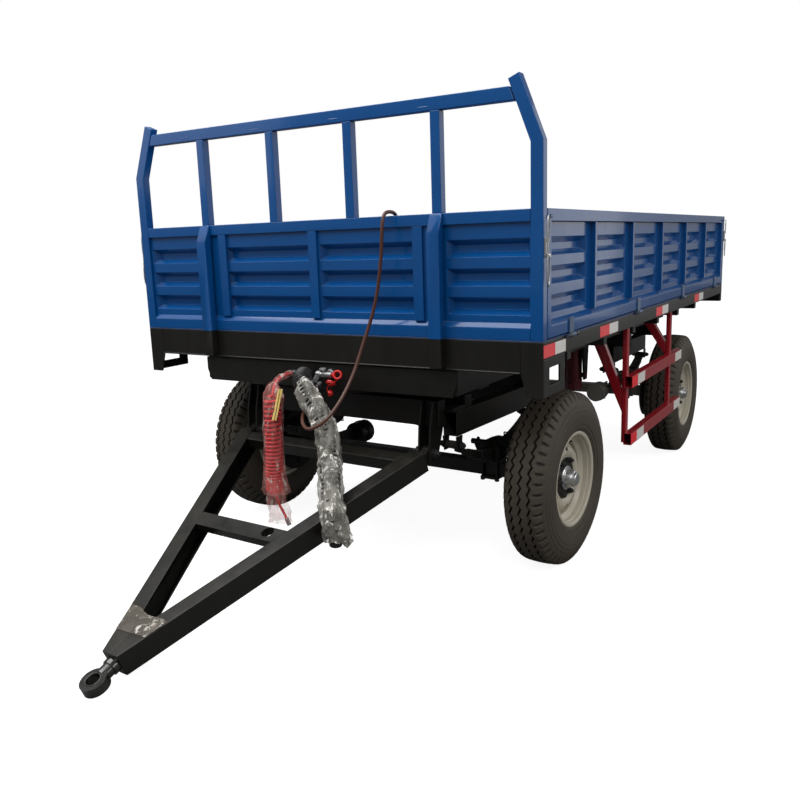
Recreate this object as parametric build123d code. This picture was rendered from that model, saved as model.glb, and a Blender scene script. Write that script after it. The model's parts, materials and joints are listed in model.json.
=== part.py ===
"""Farm dump trailer: a two-axle drawbar trailer with a rear-tipping drop-side bed.

Axes: +X is the trailer's left side, -Y points forwards along the drawbar and +Z is up.
Lengths are in millimetres. The origin lies on the ground below the middle of the trailer's
overall length, midway between its sides. Until the last section every y is counted from the
front face of the headboard.
"""
from build123d import *
import math
import os

os.makedirs("parts", exist_ok=True)

# ---------------------------------------------------------------- driving dimensions
# load bed
BED_WIDTH = 2100.0
BED_LENGTH = 3600.0
FLOOR_Z = 1105.0
WALL_HEIGHT = 485.0
WALL_THICK = 60.0
FLOOR_SHEET = 4.0
WELD_GAP = 0.2
BED_FRAME_Z = 977.0
SIDE_RAIL_HEIGHT = 68.0
SIDE_RAIL_WIDTH = 50.0
BEARER_WIDTH = 50.0
BEARER_FIRST = 400.0
BEARER_COUNT = 6
FRONT_PLATE = 8.0
LIP_DEPTH = 62.0
REAR_BEAM = 50.0
BRACKET_WIDTH = 92.0
BRACKET_LENGTH = 236.0
BRACKET_LOW_Z = 886.0
BEARER_PITCH = 500.0
STRINGER_X = 250.0
STRINGER_WIDTH = 60.0
# pressed sheet of the walls
SHEET = 3.0
RAIL_HEIGHT = 46.0
RAIL_SLANT = 20.0
FIELD_DEPTH = 26.0
POCKET_DEPTH = 54.0
HEAD_POCKET_MARGIN = 6.0
HEAD_FIELD_DEPTH = 14.0
HEAD_POCKET_DEPTH = 44.0
POCKET_HEIGHT = 68.0
POCKET_PITCH = 110.0
POCKET_SLOPE = 20.0
POCKET_MARGIN = 48.0
POCKET_CENTRE_DROP = 5.0
# headboard
CORNER_POST_WIDTH = 50.0
CORNER_POST_DEPTH = 40.0
KNEE_Z = 1830.0
POST_TOP_Z = 2066.0
POST_LEAN = 92.0
LADDER_RAIL_Z = 1972.0
LADDER_RAIL_HEIGHT = 50.0
LADDER_TUBE = 42.0
BIG_UPRIGHT_X = 612.0
BIG_UPRIGHT_WIDTH = 55.0
BIG_UPRIGHT_DEPTH = 42.0
UPRIGHT_SLANT = 78.0
THIN_RIB_X = 520.0
THIN_RIB_WIDTH = 45.0
# drop sides and tailgate
GATE_GAP = 5.0
LATCH_TOP_Z = 1568.0
LATCH_HOOK = 82.0
LATCH_BODY = 70.0
LATCH_LEVER = 110.0
LATCH_WIDTH = 28.0
LATCH_WIRE_R = 3.5
SIDE_RIB_FIRST = 618.0
SIDE_RIB_PITCH = 583.0
SIDE_RIB_COUNT = 5
SIDE_RIB_WIDTH = 26.0
STILE_WIDTH = 40.0
GATE_HINGE_OUT = 10.0
GATE_HINGE_DROP = 5.0
GATE_PIN_R = 7.0
SIDE_HINGE_FIRST = 300.0
SIDE_HINGE_PITCH = 1000.0
SIDE_HINGE_COUNT = 4
# side guards
GUARD_OUT = 17.0
GUARD_TUBE = 40.0
GUARD_RAIL_HEIGHT = 60.0
GUARD_WALL = 3.0
GUARD_POST_WIDTH = 24.0
GUARD_POST_DEPTH = 44.0
GUARD_FRONT_Y = 1162.0
GUARD_REAR_Y = 2240.0
GUARD_POSTS_Y = (1203.0, 2108.0)
GUARD_LOW_Z = 436.0
GUARD_HIGH_Z = 730.0
BRACE_TOP_IN = 250.0
BRACE_WIDTH = 46.0
BRACE_FEET_Z = (596.0, 760.0)
# chassis
RAIL_X = 650.0
RAIL_WIDTH = 60.0
CHASSIS_BOTTOM_Z = 867.0
BED_GAP = 5.0
CHASSIS_REAR_Y = 3395.0
CROSS_MEMBERS_Y = (265.0, 985.0, 1620.0, 2400.0, 3320.0)
CROSS_WIDTH = 60.0
FRONT_PLATE_DROP = 7.0
PLATE_FACE_Y = 10.0
TIP_HINGE_Y = 3425.0
TIP_HINGE_Z = 953.0
TIP_PIN_R = 12.0
TIP_BOSS_R = 19.0
TIP_EAR_R = 22.0
# axles and wheels
FRONT_AXLE_Y = 655.0
REAR_AXLE_Y = 2847.0
WHEEL_X = 880.0
TYRE_R = 400.0
TYRE_WIDTH = 215.0
RIM_R = 203.0
RIM_FLANGE_R = 219.0
RIM_HALF_WIDTH = 90.0
AXLE_SIZE = 66.0
BOLT_R = 7.0
BOLT_CLEARANCE = 3.0
CLAMP_EDGE = 11.0
CLAMP_PLATE = 12.0
AXLE_REACH = 665.0
BRAKE_PLATE_R = 168.0
SPINDLE_R = 30.0
PIN_GAP = 0.08
SPRING_X = 555.0
SPRING_HALF = 385.0
SPRING_WIDTH = 60.0
LEAF = 10.0
LEAF_COUNT = 6
# steering bogie
REST_STEER = -2.924
RING_OUTER_R = 500.0
RING_INNER_R = 430.0
RING_Z = 838.0
RING_HALF = 23.0
RING_GAP = 0.8
BOGIE_TUBE_Z = 645.0
BOGIE_TUBE_HEIGHT = 110.0
BOGIE_TUBE_WIDTH = 70.0
BOGIE_HALF = 405.0
FRONT_BEAM_Y = 165.0
FRONT_BEAM_WIDTH = 60.0
FRONT_BEAM_REACH = 550.0
FRONT_BEAM_Z = 700.0
CHEEK = 10.0
GUSSET_R = 45.0
# drawbar
DRAW_HINGE_Y = 140.0
DRAW_HINGE_Z = 590.0
DRAW_HINGE_X = 506.0
KNUCKLE_HALF = 20.0
KNUCKLE_GAP = 2.0
DRAW_PIN_R = 16.0
BEAM_WIDTH = 70.0
BEAM_DEPTH = 95.0
BEAM_WALL = 5.0
NOSE_S = 1384.0
NOSE_HALF = 40.0
NOSE_FILL_LENGTH = 90.0
BEAM_TAIL_S = 62.0
BEAM_SPREAD = 0.375
CROSS_PLATE_S = 690.0
CROSS_PLATE_LENGTH = 74.0
CROSS_PLATE_DEPTH = 36.0
CROSS_HOLE_R = 27.0
CROSS_HOLE_X = 160.0
REAR_CROSS_S = 80.0
REAR_CROSS_SIZE = 60.0
EYE_S = 1474.0
EYE_R = 49.0
EYE_BORE_R = 25.0
EYE_THICK = 38.0
EYE_NECK_R = 26.0
# tipping cylinders
CYL_X = 400.0
CYL_Y = 2200.0
CYL_PIVOT_Z = 600.0
CYL_EYE_Z = 1010.0
BARREL_R = 55.0
BARREL_BOTTOM_Z = 508.0
BARREL_TOP_Z = 925.0
STAGE_RADII = (46.0, 37.0, 28.0)
STAGE_GAP = 1.0
# hoses
AIR_LEAD_R = 8.0
AIR_COIL_R = 47.0
CABLE_COIL_R = 50.0
HYDRAULIC_R = 8.0

WALL_TOP_Z = FLOOR_Z + WALL_HEIGHT
HALF_W = BED_WIDTH / 2
CHASSIS_TOP_Z = BED_FRAME_Z - BED_GAP
EYE_DROP = EYE_R * math.sin(math.radians(22.1)) + EYE_THICK / 2 * math.cos(math.radians(22.1))
DRAW_PITCH = math.degrees(math.asin((DRAW_HINGE_Z - EYE_DROP) / EYE_S))

nodes = {}


# ---------------------------------------------------------------- helpers
def block(x0, x1, y0, y1, z0, z1):
    """A box between two corners."""
    size = (abs(x1 - x0), abs(y1 - y0), abs(z1 - z0))
    return Pos((x0 + x1) / 2, (y0 + y1) / 2, (z0 + z1) / 2) * Box(*size)


def tube_y(xc, zc, width, height, y0, y1, wall):
    """An open-ended rectangular tube along Y."""
    outer = block(xc - width / 2, xc + width / 2, y0, y1, zc - height / 2, zc + height / 2)
    inner = block(xc - width / 2 + wall, xc + width / 2 - wall, y0 - 1, y1 + 1,
                  zc - height / 2 + wall, zc + height / 2 - wall)
    return outer - inner


def rod_x(x0, x1, y, z, r):
    """A round bar along X."""
    return Pos((x0 + x1) / 2, y, z) * Rot(0, 90, 0) * Cylinder(r, abs(x1 - x0))


def rod_y(y0, y1, x, z, r):
    """A round bar along Y."""
    return Pos(x, (y0 + y1) / 2, z) * Rot(90, 0, 0) * Cylinder(r, abs(y1 - y0))


def rod_z(z0, z1, x, y, r):
    """A round bar along Z."""
    return Pos(x, y, (z0 + z1) / 2) * Cylinder(r, abs(z1 - z0))


def plate_x(points, x0, x1):
    """A flat plate from x0 to x1 whose outline is given as (y, z) points."""
    face = make_face(Polyline([(x0, y, z) for y, z in points], close=True))
    return extrude(face, amount=x1 - x0, dir=(1, 0, 0))


def plate_y(points, y0, y1):
    """A flat plate from y0 to y1 whose outline is given as (x, z) points."""
    face = make_face(Polyline([(x, y0, z) for x, z in points], close=True))
    return extrude(face, amount=y1 - y0, dir=(0, 1, 0))


def plate_z(points, z0, z1):
    """A flat plate from z0 to z1 whose outline is given as (x, y) points."""
    face = make_face(Polyline([(x, y, z0) for x, y in points], close=True))
    return extrude(face, amount=z1 - z0, dir=(0, 0, 1))


def revolve_x(points, x, y, z):
    """A body of revolution about the X direction from (axial, radial) points."""
    face = make_face(Polyline([(a, 0, r) for a, r in points], close=True))
    return Pos(x, y, z) * revolve(face, Axis((0, 0, 0), (1, 0, 0)), 360)


def both(shape):
    """The shape and its mirror image across the trailer's middle plane."""
    return [shape, mirror(shape, about=Plane.YZ)]


def fuse(shapes):
    """One part from a list of shapes that overlap."""
    total = Part()
    for shape in shapes:
        total = total + shape
    return total


def group(shapes):
    """Welded pieces of one node, each a solid of its own, a hair's breadth apart."""
    return Compound([solid for shape in shapes for solid in shape.solids()])


def steer(shape):
    """Turn a bogie piece from straight ahead to the parked steering angle."""
    turn = Pos(0, FRONT_AXLE_Y, 0) * Rot(0, 0, REST_STEER) * Pos(0, -FRONT_AXLE_Y, 0)
    return turn * shape


def pitch(shape):
    """Place a drawbar piece, drawn flat with its hinge at the origin, on the bogie."""
    return steer(Pos(0, DRAW_HINGE_Y, DRAW_HINGE_Z) * Rot(DRAW_PITCH, 0, 0) * shape)


# ---------------------------------------------------------------- pressed wall sheet
POCKET_ROWS = [(FLOOR_Z + WALL_TOP_Z) / 2 - POCKET_CENTRE_DROP + row * POCKET_PITCH for row in (-1, 0, 1)]


def pocket(x0, x1, z, field, deep, grow):
    """Tapered body of one pressed pocket between x0 and x1; grow adds the sheet's thickness."""
    half = POCKET_HEIGHT / 2 + grow
    upright = [(field, z - half), (field, z + half), (deep + grow, z + half - POCKET_SLOPE),
               (deep + grow, z - half + POCKET_SLOPE)]
    flat = [(x0 - grow, field), (x1 + grow, field), (x1 + grow - POCKET_SLOPE, deep + grow),
            (x0 - grow + POCKET_SLOPE, deep + grow)]
    return plate_x(upright, x0 - grow, x1 + grow) & plate_z(flat, z - half, z + half)


def pressed_sheet(reach, edges, low, high, field, deep, margin):
    """Wall sheet from -reach to reach with three pockets in each bay between neighbouring rib edges."""
    sheet = block(-reach, reach, field, field + SHEET, low, high)
    for x0, x1 in edges:
        for z in POCKET_ROWS:
            sheet = sheet + pocket(x0 + margin, x1 - margin, z, field, deep, SHEET)
            sheet = sheet - pocket(x0 + margin, x1 - margin, z, field, deep, 0)
    return sheet


def bays(ends, ribs, width):
    """Bay edges between two ends and the ribs at the given places."""
    starts = [ends[0]] + [x + width / 2 for x in ribs]
    stops = [x - width / 2 for x in ribs] + [ends[1]]
    return list(zip(starts, stops))


def bottom_rail(x0, x1, low, field, depth):
    """Bottom rail of a wall, its top slanted down towards the outer face."""
    top = low + RAIL_HEIGHT
    outline = [(0, low), (0, top), (field, top + RAIL_SLANT), (depth, top + RAIL_SLANT), (depth, low)]
    return plate_x(outline, x0, x1)


# ---------------------------------------------------------------- headboard
def corner_post():
    """Left corner post: upright to the knee, then leaning inwards."""
    inner = HALF_W - CORNER_POST_WIDTH
    shank = block(inner, HALF_W, 0, CORNER_POST_DEPTH, FLOOR_Z, KNEE_Z)
    outline = [(inner, KNEE_Z - 6), (HALF_W, KNEE_Z), (HALF_W - POST_LEAN, POST_TOP_Z),
               (inner - POST_LEAN + 6, POST_TOP_Z - 18)]
    return shank + plate_y(outline, 0, CORNER_POST_DEPTH)


def headboard_frame():
    """Corner posts, rails of the panel, the ladder above it and two box uprights in front."""
    inner = HALF_W - CORNER_POST_WIDTH
    reach = inner - WELD_GAP
    depth = CORNER_POST_DEPTH
    pieces = both(corner_post())
    pieces.append(block(-reach, reach, 0, depth, WALL_TOP_Z - RAIL_HEIGHT, WALL_TOP_Z))
    pieces.append(bottom_rail(-reach, reach, FLOOR_Z + WELD_GAP, HEAD_FIELD_DEPTH, depth))
    rail_top = LADDER_RAIL_Z + LADDER_RAIL_HEIGHT
    lean = POST_LEAN / (POST_TOP_Z - KNEE_Z)
    low_reach = reach - 6 - lean * (LADDER_RAIL_Z - KNEE_Z)
    high_reach = reach - 6 - lean * (rail_top - KNEE_Z)
    outline = [(-low_reach, LADDER_RAIL_Z), (low_reach, LADDER_RAIL_Z),
               (high_reach, rail_top), (-high_reach, rail_top)]
    pieces.append(plate_y(outline, 0, depth))
    half = LADDER_TUBE / 2
    for x in (-BIG_UPRIGHT_X, -BIG_UPRIGHT_X / 3, BIG_UPRIGHT_X / 3, BIG_UPRIGHT_X):
        pieces.append(block(x - half, x + half, 0, depth, WALL_TOP_Z + WELD_GAP, LADDER_RAIL_Z - WELD_GAP))
    half = BIG_UPRIGHT_WIDTH / 2
    foot = BED_FRAME_Z + 10
    front = -BIG_UPRIGHT_DEPTH
    outline = [(-WELD_GAP, foot), (-WELD_GAP, WALL_TOP_Z), (-8, WALL_TOP_Z),
               (front, WALL_TOP_Z - UPRIGHT_SLANT), (front, foot)]
    pieces += both(plate_x(outline, BIG_UPRIGHT_X - half, BIG_UPRIGHT_X + half))
    return group(pieces)


def headboard_panel():
    """Pressed sheet of the headboard with its thin ribs."""
    reach = HALF_W - CORNER_POST_WIDTH - WELD_GAP
    low = FLOOR_Z + RAIL_HEIGHT + RAIL_SLANT + 2 * WELD_GAP
    high = WALL_TOP_Z - RAIL_HEIGHT - WELD_GAP
    thin = (-THIN_RIB_X, 0.0, THIN_RIB_X)
    outer = BIG_UPRIGHT_X + BIG_UPRIGHT_WIDTH / 2
    edges = [(-reach, -outer)] + bays((-THIN_RIB_X, THIN_RIB_X), [0.0], THIN_RIB_WIDTH) + [(outer, reach)]
    field = HEAD_FIELD_DEPTH
    sheet = pressed_sheet(reach, edges, low, high, field, HEAD_POCKET_DEPTH, HEAD_POCKET_MARGIN)
    for x in thin:
        half = THIN_RIB_WIDTH / 2
        sheet = sheet + block(x - half, x + half, 1, field + SHEET / 2, low, high)
    return sheet


nodes["headboard_frame"] = headboard_frame()
nodes["headboard_panel"] = headboard_panel()


# ---------------------------------------------------------------- bed floor and frame
def bed_floor():
    """Floor sheet of the load space."""
    return block(-HALF_W, HALF_W, 0, BED_LENGTH, FLOOR_Z - FLOOR_SHEET, FLOOR_Z)


def bed_frame():
    """Frame below the floor: front plate with its lip, rails, stringers, bearers and brackets."""
    gap = WELD_GAP
    top = FLOOR_Z - FLOOR_SHEET - gap
    low = BED_FRAME_Z
    rail_in = HALF_W - SIDE_RAIL_WIDTH
    rail_low = top - SIDE_RAIL_HEIGHT
    rear = BED_LENGTH - REAR_BEAM
    lip = [(-6, low), (LIP_DEPTH, low), (LIP_DEPTH, low + 8), (FRONT_PLATE, low + 8), (FRONT_PLATE, top),
           (0, top), (0, low + 6), (-6, low + 6)]
    pieces = [plate_x(lip, -HALF_W + BRACKET_WIDTH, HALF_W - BRACKET_WIDTH)]
    inner = HALF_W - BRACKET_WIDTH + gap
    slant = [(inner, top), (HALF_W, top), (HALF_W, BRACKET_LOW_Z), (inner + 26, BRACKET_LOW_Z), (inner, low)]
    pieces += both(plate_y(slant, 0, FRONT_PLATE))
    side = block(HALF_W - FRONT_PLATE, HALF_W, FRONT_PLATE + gap, BRACKET_LENGTH, BRACKET_LOW_Z, rail_low - gap)
    window = block(HALF_W - 20, HALF_W + 20, 70, 180, BRACKET_LOW_Z + 40, BRACKET_LOW_Z + 110)
    pieces += both(side - window)
    pieces += both(block(rail_in, HALF_W, FRONT_PLATE + gap, rear - gap, rail_low, top))
    left = STRINGER_X - STRINGER_WIDTH / 2
    right = STRINGER_X + STRINGER_WIDTH / 2
    pieces += both(block(left, right, LIP_DEPTH + gap, rear - gap, low, top))
    for index in range(BEARER_COUNT):
        y = BEARER_FIRST + index * BEARER_PITCH
        pieces.append(block(-left + gap, left - gap, y, y + BEARER_WIDTH, low, top))
        pieces += both(block(right + gap, rail_in - gap, y, y + BEARER_WIDTH, low, top))
    pieces.append(block(-HALF_W, HALF_W, rear, BED_LENGTH, low, top))
    pieces += both(tip_bracket(rear - gap, low, top))
    for x in (CYL_X - 40, CYL_X + 40):
        pieces += both(cylinder_ear(x, top))
    return pieces


def tip_bracket(rear, low, top):
    """Left half of the tipping hinge: two ears with the pin, below a block of the bed frame."""
    ear = [(TIP_HINGE_Y - TIP_EAR_R, low + 2), (TIP_HINGE_Y - TIP_EAR_R, TIP_HINGE_Z),
           (TIP_HINGE_Y + TIP_EAR_R, TIP_HINGE_Z), (TIP_HINGE_Y + TIP_EAR_R, low + 2)]
    bracket = block(585, 685, TIP_HINGE_Y - 28, rear, low, top)
    for x0, x1 in ((585, 605), (665, 685)):
        bracket = bracket + plate_x(ear, x0, x1) + rod_x(x0, x1, TIP_HINGE_Y, TIP_HINGE_Z, TIP_EAR_R)
    return bracket + rod_x(578, 692, TIP_HINGE_Y, TIP_HINGE_Z, TIP_PIN_R)


def cylinder_ear(x, top):
    """Ear below the floor between two bearers that carries the pin of a cylinder rod."""
    before = BEARER_FIRST + 3 * BEARER_PITCH + BEARER_WIDTH + WELD_GAP
    after = BEARER_FIRST + 4 * BEARER_PITCH - WELD_GAP
    high = CYL_EYE_Z + 30
    outline = [(before, top), (before, high), (CYL_Y - 34, high), (CYL_Y - 34, CYL_EYE_Z - 30),
               (CYL_Y + 34, CYL_EYE_Z - 30), (CYL_Y + 34, high), (after, high), (after, top)]
    side = 1 if x > CYL_X else -1
    head = rod_x(x + side * 5, x + side * 14, CYL_Y, CYL_EYE_Z, 15)
    return plate_x(outline, x - 6, x + 6) + head


def rear_posts():
    """Rear corner posts between the drop sides and the tailgate."""
    inner = HALF_W - WALL_THICK
    post = block(inner, HALF_W, BED_LENGTH - CORNER_POST_DEPTH, BED_LENGTH, FLOOR_Z, WALL_TOP_Z)
    return group(both(post))


nodes["bed_floor"] = bed_floor()
nodes["rear_posts"] = rear_posts()


# ---------------------------------------------------------------- side guards
def guard_left():
    """Left side guard: two open rails outside two posts, and braces to the bed frame."""
    gap = WELD_GAP
    rail_x = HALF_W + GUARD_OUT - GUARD_TUBE / 2
    x1 = HALF_W + GUARD_OUT - GUARD_TUBE - gap
    x0 = x1 - GUARD_POST_WIDTH
    under = FLOOR_Z - FLOOR_SHEET - 2 * gap - SIDE_RAIL_HEIGHT
    top = FLOOR_Z - FLOOR_SHEET - 2 * gap
    half = GUARD_RAIL_HEIGHT / 2
    pieces = []
    for z in (GUARD_LOW_Z, GUARD_HIGH_Z):
        pieces.append(tube_y(rail_x, z + half, GUARD_TUBE, GUARD_RAIL_HEIGHT, GUARD_FRONT_Y, GUARD_REAR_Y,
                             GUARD_WALL))
    end = x0 - gap
    inner = HALF_W - BRACE_TOP_IN
    for y, foot in zip(GUARD_POSTS_Y, BRACE_FEET_Z):
        pieces.append(block(x0, x1, y, y + GUARD_POST_DEPTH, GUARD_LOW_Z, under))
        rise = BRACE_WIDTH * math.hypot(1, (under - foot) / (end - inner))
        bar = [(end, foot), (end, foot + rise), (inner + BRACE_WIDTH, top), (inner, top), (inner, top - 40)]
        pieces.append(plate_y(bar, y + 2, y + GUARD_POST_DEPTH - 2))
    return pieces


nodes["side_guards"] = group([side for piece in guard_left() for side in both(piece)])


# ---------------------------------------------------------------- drop sides and tailgate
GATE_LOW = FLOOR_Z + GATE_GAP
SIDE_Y0 = CORNER_POST_DEPTH + GATE_GAP
SIDE_Y1 = BED_LENGTH - CORNER_POST_DEPTH - GATE_GAP
SIDE_HINGE_X = HALF_W + GATE_HINGE_OUT
HINGE_Z = FLOOR_Z - GATE_HINGE_DROP
TAIL_HINGE_Y = BED_LENGTH + GATE_HINGE_OUT


def gate(length, ribs, width):
    """Gate drawn flat: x runs along it, y is its depth from the outer face and z is up."""
    end = length / 2
    low = GATE_LOW + RAIL_HEIGHT + RAIL_SLANT
    high = WALL_TOP_Z - RAIL_HEIGHT
    edges = bays((-end + STILE_WIDTH, end - STILE_WIDTH), ribs, width)
    wall = block(-end, end, 0, WALL_THICK, high, WALL_TOP_Z) + bottom_rail(-end, end, GATE_LOW, FIELD_DEPTH, WALL_THICK)
    for x in (-end, end - STILE_WIDTH):
        wall = wall + block(x, x + STILE_WIDTH, 0, WALL_THICK, GATE_LOW, WALL_TOP_Z)
    for x in ribs:
        wall = wall + block(x - width / 2, x + width / 2, 1, FIELD_DEPTH + SHEET / 2, low, high)
    return wall + pressed_sheet(end - 1, edges, low, high, FIELD_DEPTH, POCKET_DEPTH, POCKET_MARGIN)


def side_left():
    """Left drop side with its ribs."""
    middle = (SIDE_Y0 + SIDE_Y1) / 2
    ribs = [SIDE_RIB_FIRST + index * SIDE_RIB_PITCH - middle for index in range(SIDE_RIB_COUNT)]
    flat = gate(SIDE_Y1 - SIDE_Y0, ribs, SIDE_RIB_WIDTH)
    return Pos(HALF_W, middle, 0) * Rot(0, 0, 90) * flat


def tailgate():
    """Tailgate between the rear corner posts."""
    length = 2 * (HALF_W - WALL_THICK - GATE_GAP)
    flat = gate(length, [-THIN_RIB_X, 0.0, THIN_RIB_X], THIN_RIB_WIDTH)
    return Pos(0, BED_LENGTH, 0) * Rot(0, 0, 180) * flat


def knuckle(y):
    """Moving half of one side hinge at height of the floor, with its pin."""
    strap = block(HALF_W + 0.3, HALF_W + 6, y - 25, y + 25, HINGE_Z + 2, GATE_LOW + 60)
    barrel = rod_y(y - 25, y + 25, SIDE_HINGE_X, HINGE_Z, GATE_PIN_R + 2)
    pin = rod_y(y - 60, y + 60, SIDE_HINGE_X, HINGE_Z, GATE_PIN_R)
    neck = block(HALF_W + 1.0, SIDE_HINGE_X, y - 25, y + 25, HINGE_Z, HINGE_Z + 8)
    return strap + barrel + pin + neck


def hinge_seat(y):
    """Fixed half of one side hinge: two eyes on the bed's side rail."""
    pieces = []
    for side in (-1, 1):
        yc = y + side * 42
        eye = rod_y(yc - 12, yc + 12, SIDE_HINGE_X, HINGE_Z, GATE_PIN_R + 2)
        foot = block(HALF_W, SIDE_HINGE_X, yc - 12, yc + 12, HINGE_Z - 9, HINGE_Z)
        bore = rod_y(yc - 13, yc + 13, SIDE_HINGE_X, HINGE_Z, GATE_PIN_R + PIN_GAP)
        pieces.append((eye + foot) - bore)
    return pieces


SIDE_HINGES = [SIDE_HINGE_FIRST + index * SIDE_HINGE_PITCH for index in range(SIDE_HINGE_COUNT)]
TAIL_HINGES = [-700.0, 0.0, 700.0]


def to_tail(shape):
    """Turn a left-side fitting drawn about y = 0 to the tailgate."""
    return Pos(0, BED_LENGTH - HALF_W, 0) * Rot(0, 0, 90) * shape


def bed_hinges():
    """Fixed hinge eyes of both drop sides and the tailgate."""
    pieces = []
    for y in SIDE_HINGES:
        for eye in hinge_seat(y):
            pieces += both(eye)
    for x in TAIL_HINGES:
        for eye in hinge_seat(-x):
            pieces.append(to_tail(eye))
    return pieces


def keeper(y):
    """Keeper on the end of a gate, beside the hook of its latch."""
    return block(HALF_W + 0.3, HALF_W + 10, y - 12, y + 12, LATCH_TOP_Z - 14, LATCH_TOP_Z)


def gate_latch(y):
    """Over-centre latch on the outer face of a post at y: slotted body, hook, pivot and lever."""
    x = HALF_W + WELD_GAP
    half = LATCH_WIDTH / 2
    low = LATCH_TOP_Z - LATCH_HOOK - LATCH_BODY
    high = LATCH_TOP_Z - LATCH_HOOK
    slot = block(x + 2, x + 20, y - half / 3, y + half / 3, low + 12, high - 12)
    body = block(x, x + 8, y - half, y + half, low, high) - slot
    hook = rod_z(high - 10, LATCH_TOP_Z, x + 12, y, LATCH_WIRE_R)
    hook = hook + rod_x(x, x + 12 + LATCH_WIRE_R, y, LATCH_TOP_Z, LATCH_WIRE_R)
    pivot = rod_x(x, x + 20, y, low + 4, LATCH_WIRE_R * 2)
    grip = block(x + 9, x + 15, y - half * 0.8, y + half * 0.8, low - LATCH_LEVER, low + 14)
    grip = grip + rod_x(x + 9, x + 15, y, low - LATCH_LEVER, half * 0.8)
    return body + hook + pivot + grip


nodes["side_left"] = side_left()
nodes["side_right"] = mirror(nodes["side_left"], about=Plane.YZ)
side_fittings = group([knuckle(y) for y in SIDE_HINGES] + [keeper(SIDE_Y0 + 20), keeper(SIDE_Y1 - 20)])
nodes["side_left_fittings"] = side_fittings
nodes["side_right_fittings"] = mirror(side_fittings, about=Plane.YZ)
nodes["tailgate"] = tailgate()
tail_reach = HALF_W - WALL_THICK - GATE_GAP - 20
nodes["tailgate_fittings"] = group([to_tail(shape) for shape in
                                    [knuckle(-x) for x in TAIL_HINGES] + [keeper(-tail_reach), keeper(tail_reach)]])
side_latches = [gate_latch(CORNER_POST_DEPTH / 2), gate_latch(BED_LENGTH - CORNER_POST_DEPTH / 2)]
tail_latches = [to_tail(gate_latch(side * (HALF_W - WALL_THICK / 2))) for side in (-1, 1)]
nodes["gate_latches"] = group([latch for shape in side_latches for latch in both(shape)] + tail_latches)
nodes["bed_frame"] = group(bed_frame() + bed_hinges())


# ---------------------------------------------------------------- chassis
RING_TOP_Z = RING_Z + RING_HALF
RING_BOTTOM_Z = RING_Z - RING_HALF


def chassis_frame():
    """Main rails, cross members, front plate, cylinder supports and tipping lugs."""
    gap = WELD_GAP
    half = RAIL_WIDTH / 2
    low = CHASSIS_BOTTOM_Z
    top = CHASSIS_TOP_Z
    back = PLATE_FACE_Y + FRONT_PLATE
    pieces = both(block(RAIL_X - half, RAIL_X + half, back + gap, CHASSIS_REAR_Y, low, top))
    reach = RAIL_X + half
    chamfer = [(-reach, top), (-reach, low + 45), (-reach + 20, low - FRONT_PLATE_DROP),
               (reach - 20, low - FRONT_PLATE_DROP), (reach, low + 45), (reach, top)]
    pieces.append(plate_y(chamfer, PLATE_FACE_Y, back))
    reach = RAIL_X - half - gap
    for y in CROSS_MEMBERS_Y:
        pieces.append(block(-reach, reach, y, y + CROSS_WIDTH, low, top))
    before = CROSS_MEMBERS_Y[2] + CROSS_WIDTH + gap
    for x in (CYL_X - 85, CYL_X + 85):
        pieces += both(block(x - 10, x + 10, before, CROSS_MEMBERS_Y[3] - gap, low, top))
    boss = TIP_BOSS_R
    start = CHASSIS_REAR_Y + gap
    lug = [(start, top), (start, low + 4), (TIP_HINGE_Y, TIP_HINGE_Z - boss), (TIP_HINGE_Y, TIP_HINGE_Z + boss)]
    shape = plate_x(lug, 612, 658) + rod_x(612, 658, TIP_HINGE_Y, TIP_HINGE_Z, boss)
    pieces += both(shape - rod_x(500, 800, TIP_HINGE_Y, TIP_HINGE_Z, TIP_PIN_R + PIN_GAP))
    return pieces


def carrier_tubes(y):
    """Open tubes that carry the springs of the axle at y."""
    z = BOGIE_TUBE_Z + BOGIE_TUBE_HEIGHT / 2
    tube = tube_y(SPRING_X, z, BOGIE_TUBE_WIDTH, BOGIE_TUBE_HEIGHT, y - BOGIE_HALF, y + BOGIE_HALF, 5)
    pieces = both(tube)
    for end in (y - SPRING_HALF, y + SPRING_HALF):
        for plate in hanger(end):
            pieces += both(plate)
    return pieces


def rear_subframe():
    """Spring carriers of the rear axle: tubes, risers and hangers."""
    z1 = BOGIE_TUBE_Z + BOGIE_TUBE_HEIGHT + WELD_GAP
    pieces = carrier_tubes(REAR_AXLE_Y)
    reach = RAIL_X + RAIL_WIDTH / 2
    for y in (REAR_AXLE_Y - BOGIE_HALF + 40, REAR_AXLE_Y + BOGIE_HALF - 100):
        pieces.append(block(-reach, reach, y, y + 60, z1, CHASSIS_BOTTOM_Z - WELD_GAP))
    return group(pieces)


def hanger(y):
    """Left spring hanger: two plates below the tube."""
    top = BOGIE_TUBE_Z - WELD_GAP
    outline = [(y - 28, top), (y + 28, top), (y + 18, SPRING_EYE_Z - 26), (y - 18, SPRING_EYE_Z - 26)]
    gap = SPRING_WIDTH / 2 + 0.5
    return [plate_x(outline, SPRING_X - gap - 6, SPRING_X - gap),
            plate_x(outline, SPRING_X + gap, SPRING_X + gap + 6)]


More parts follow.
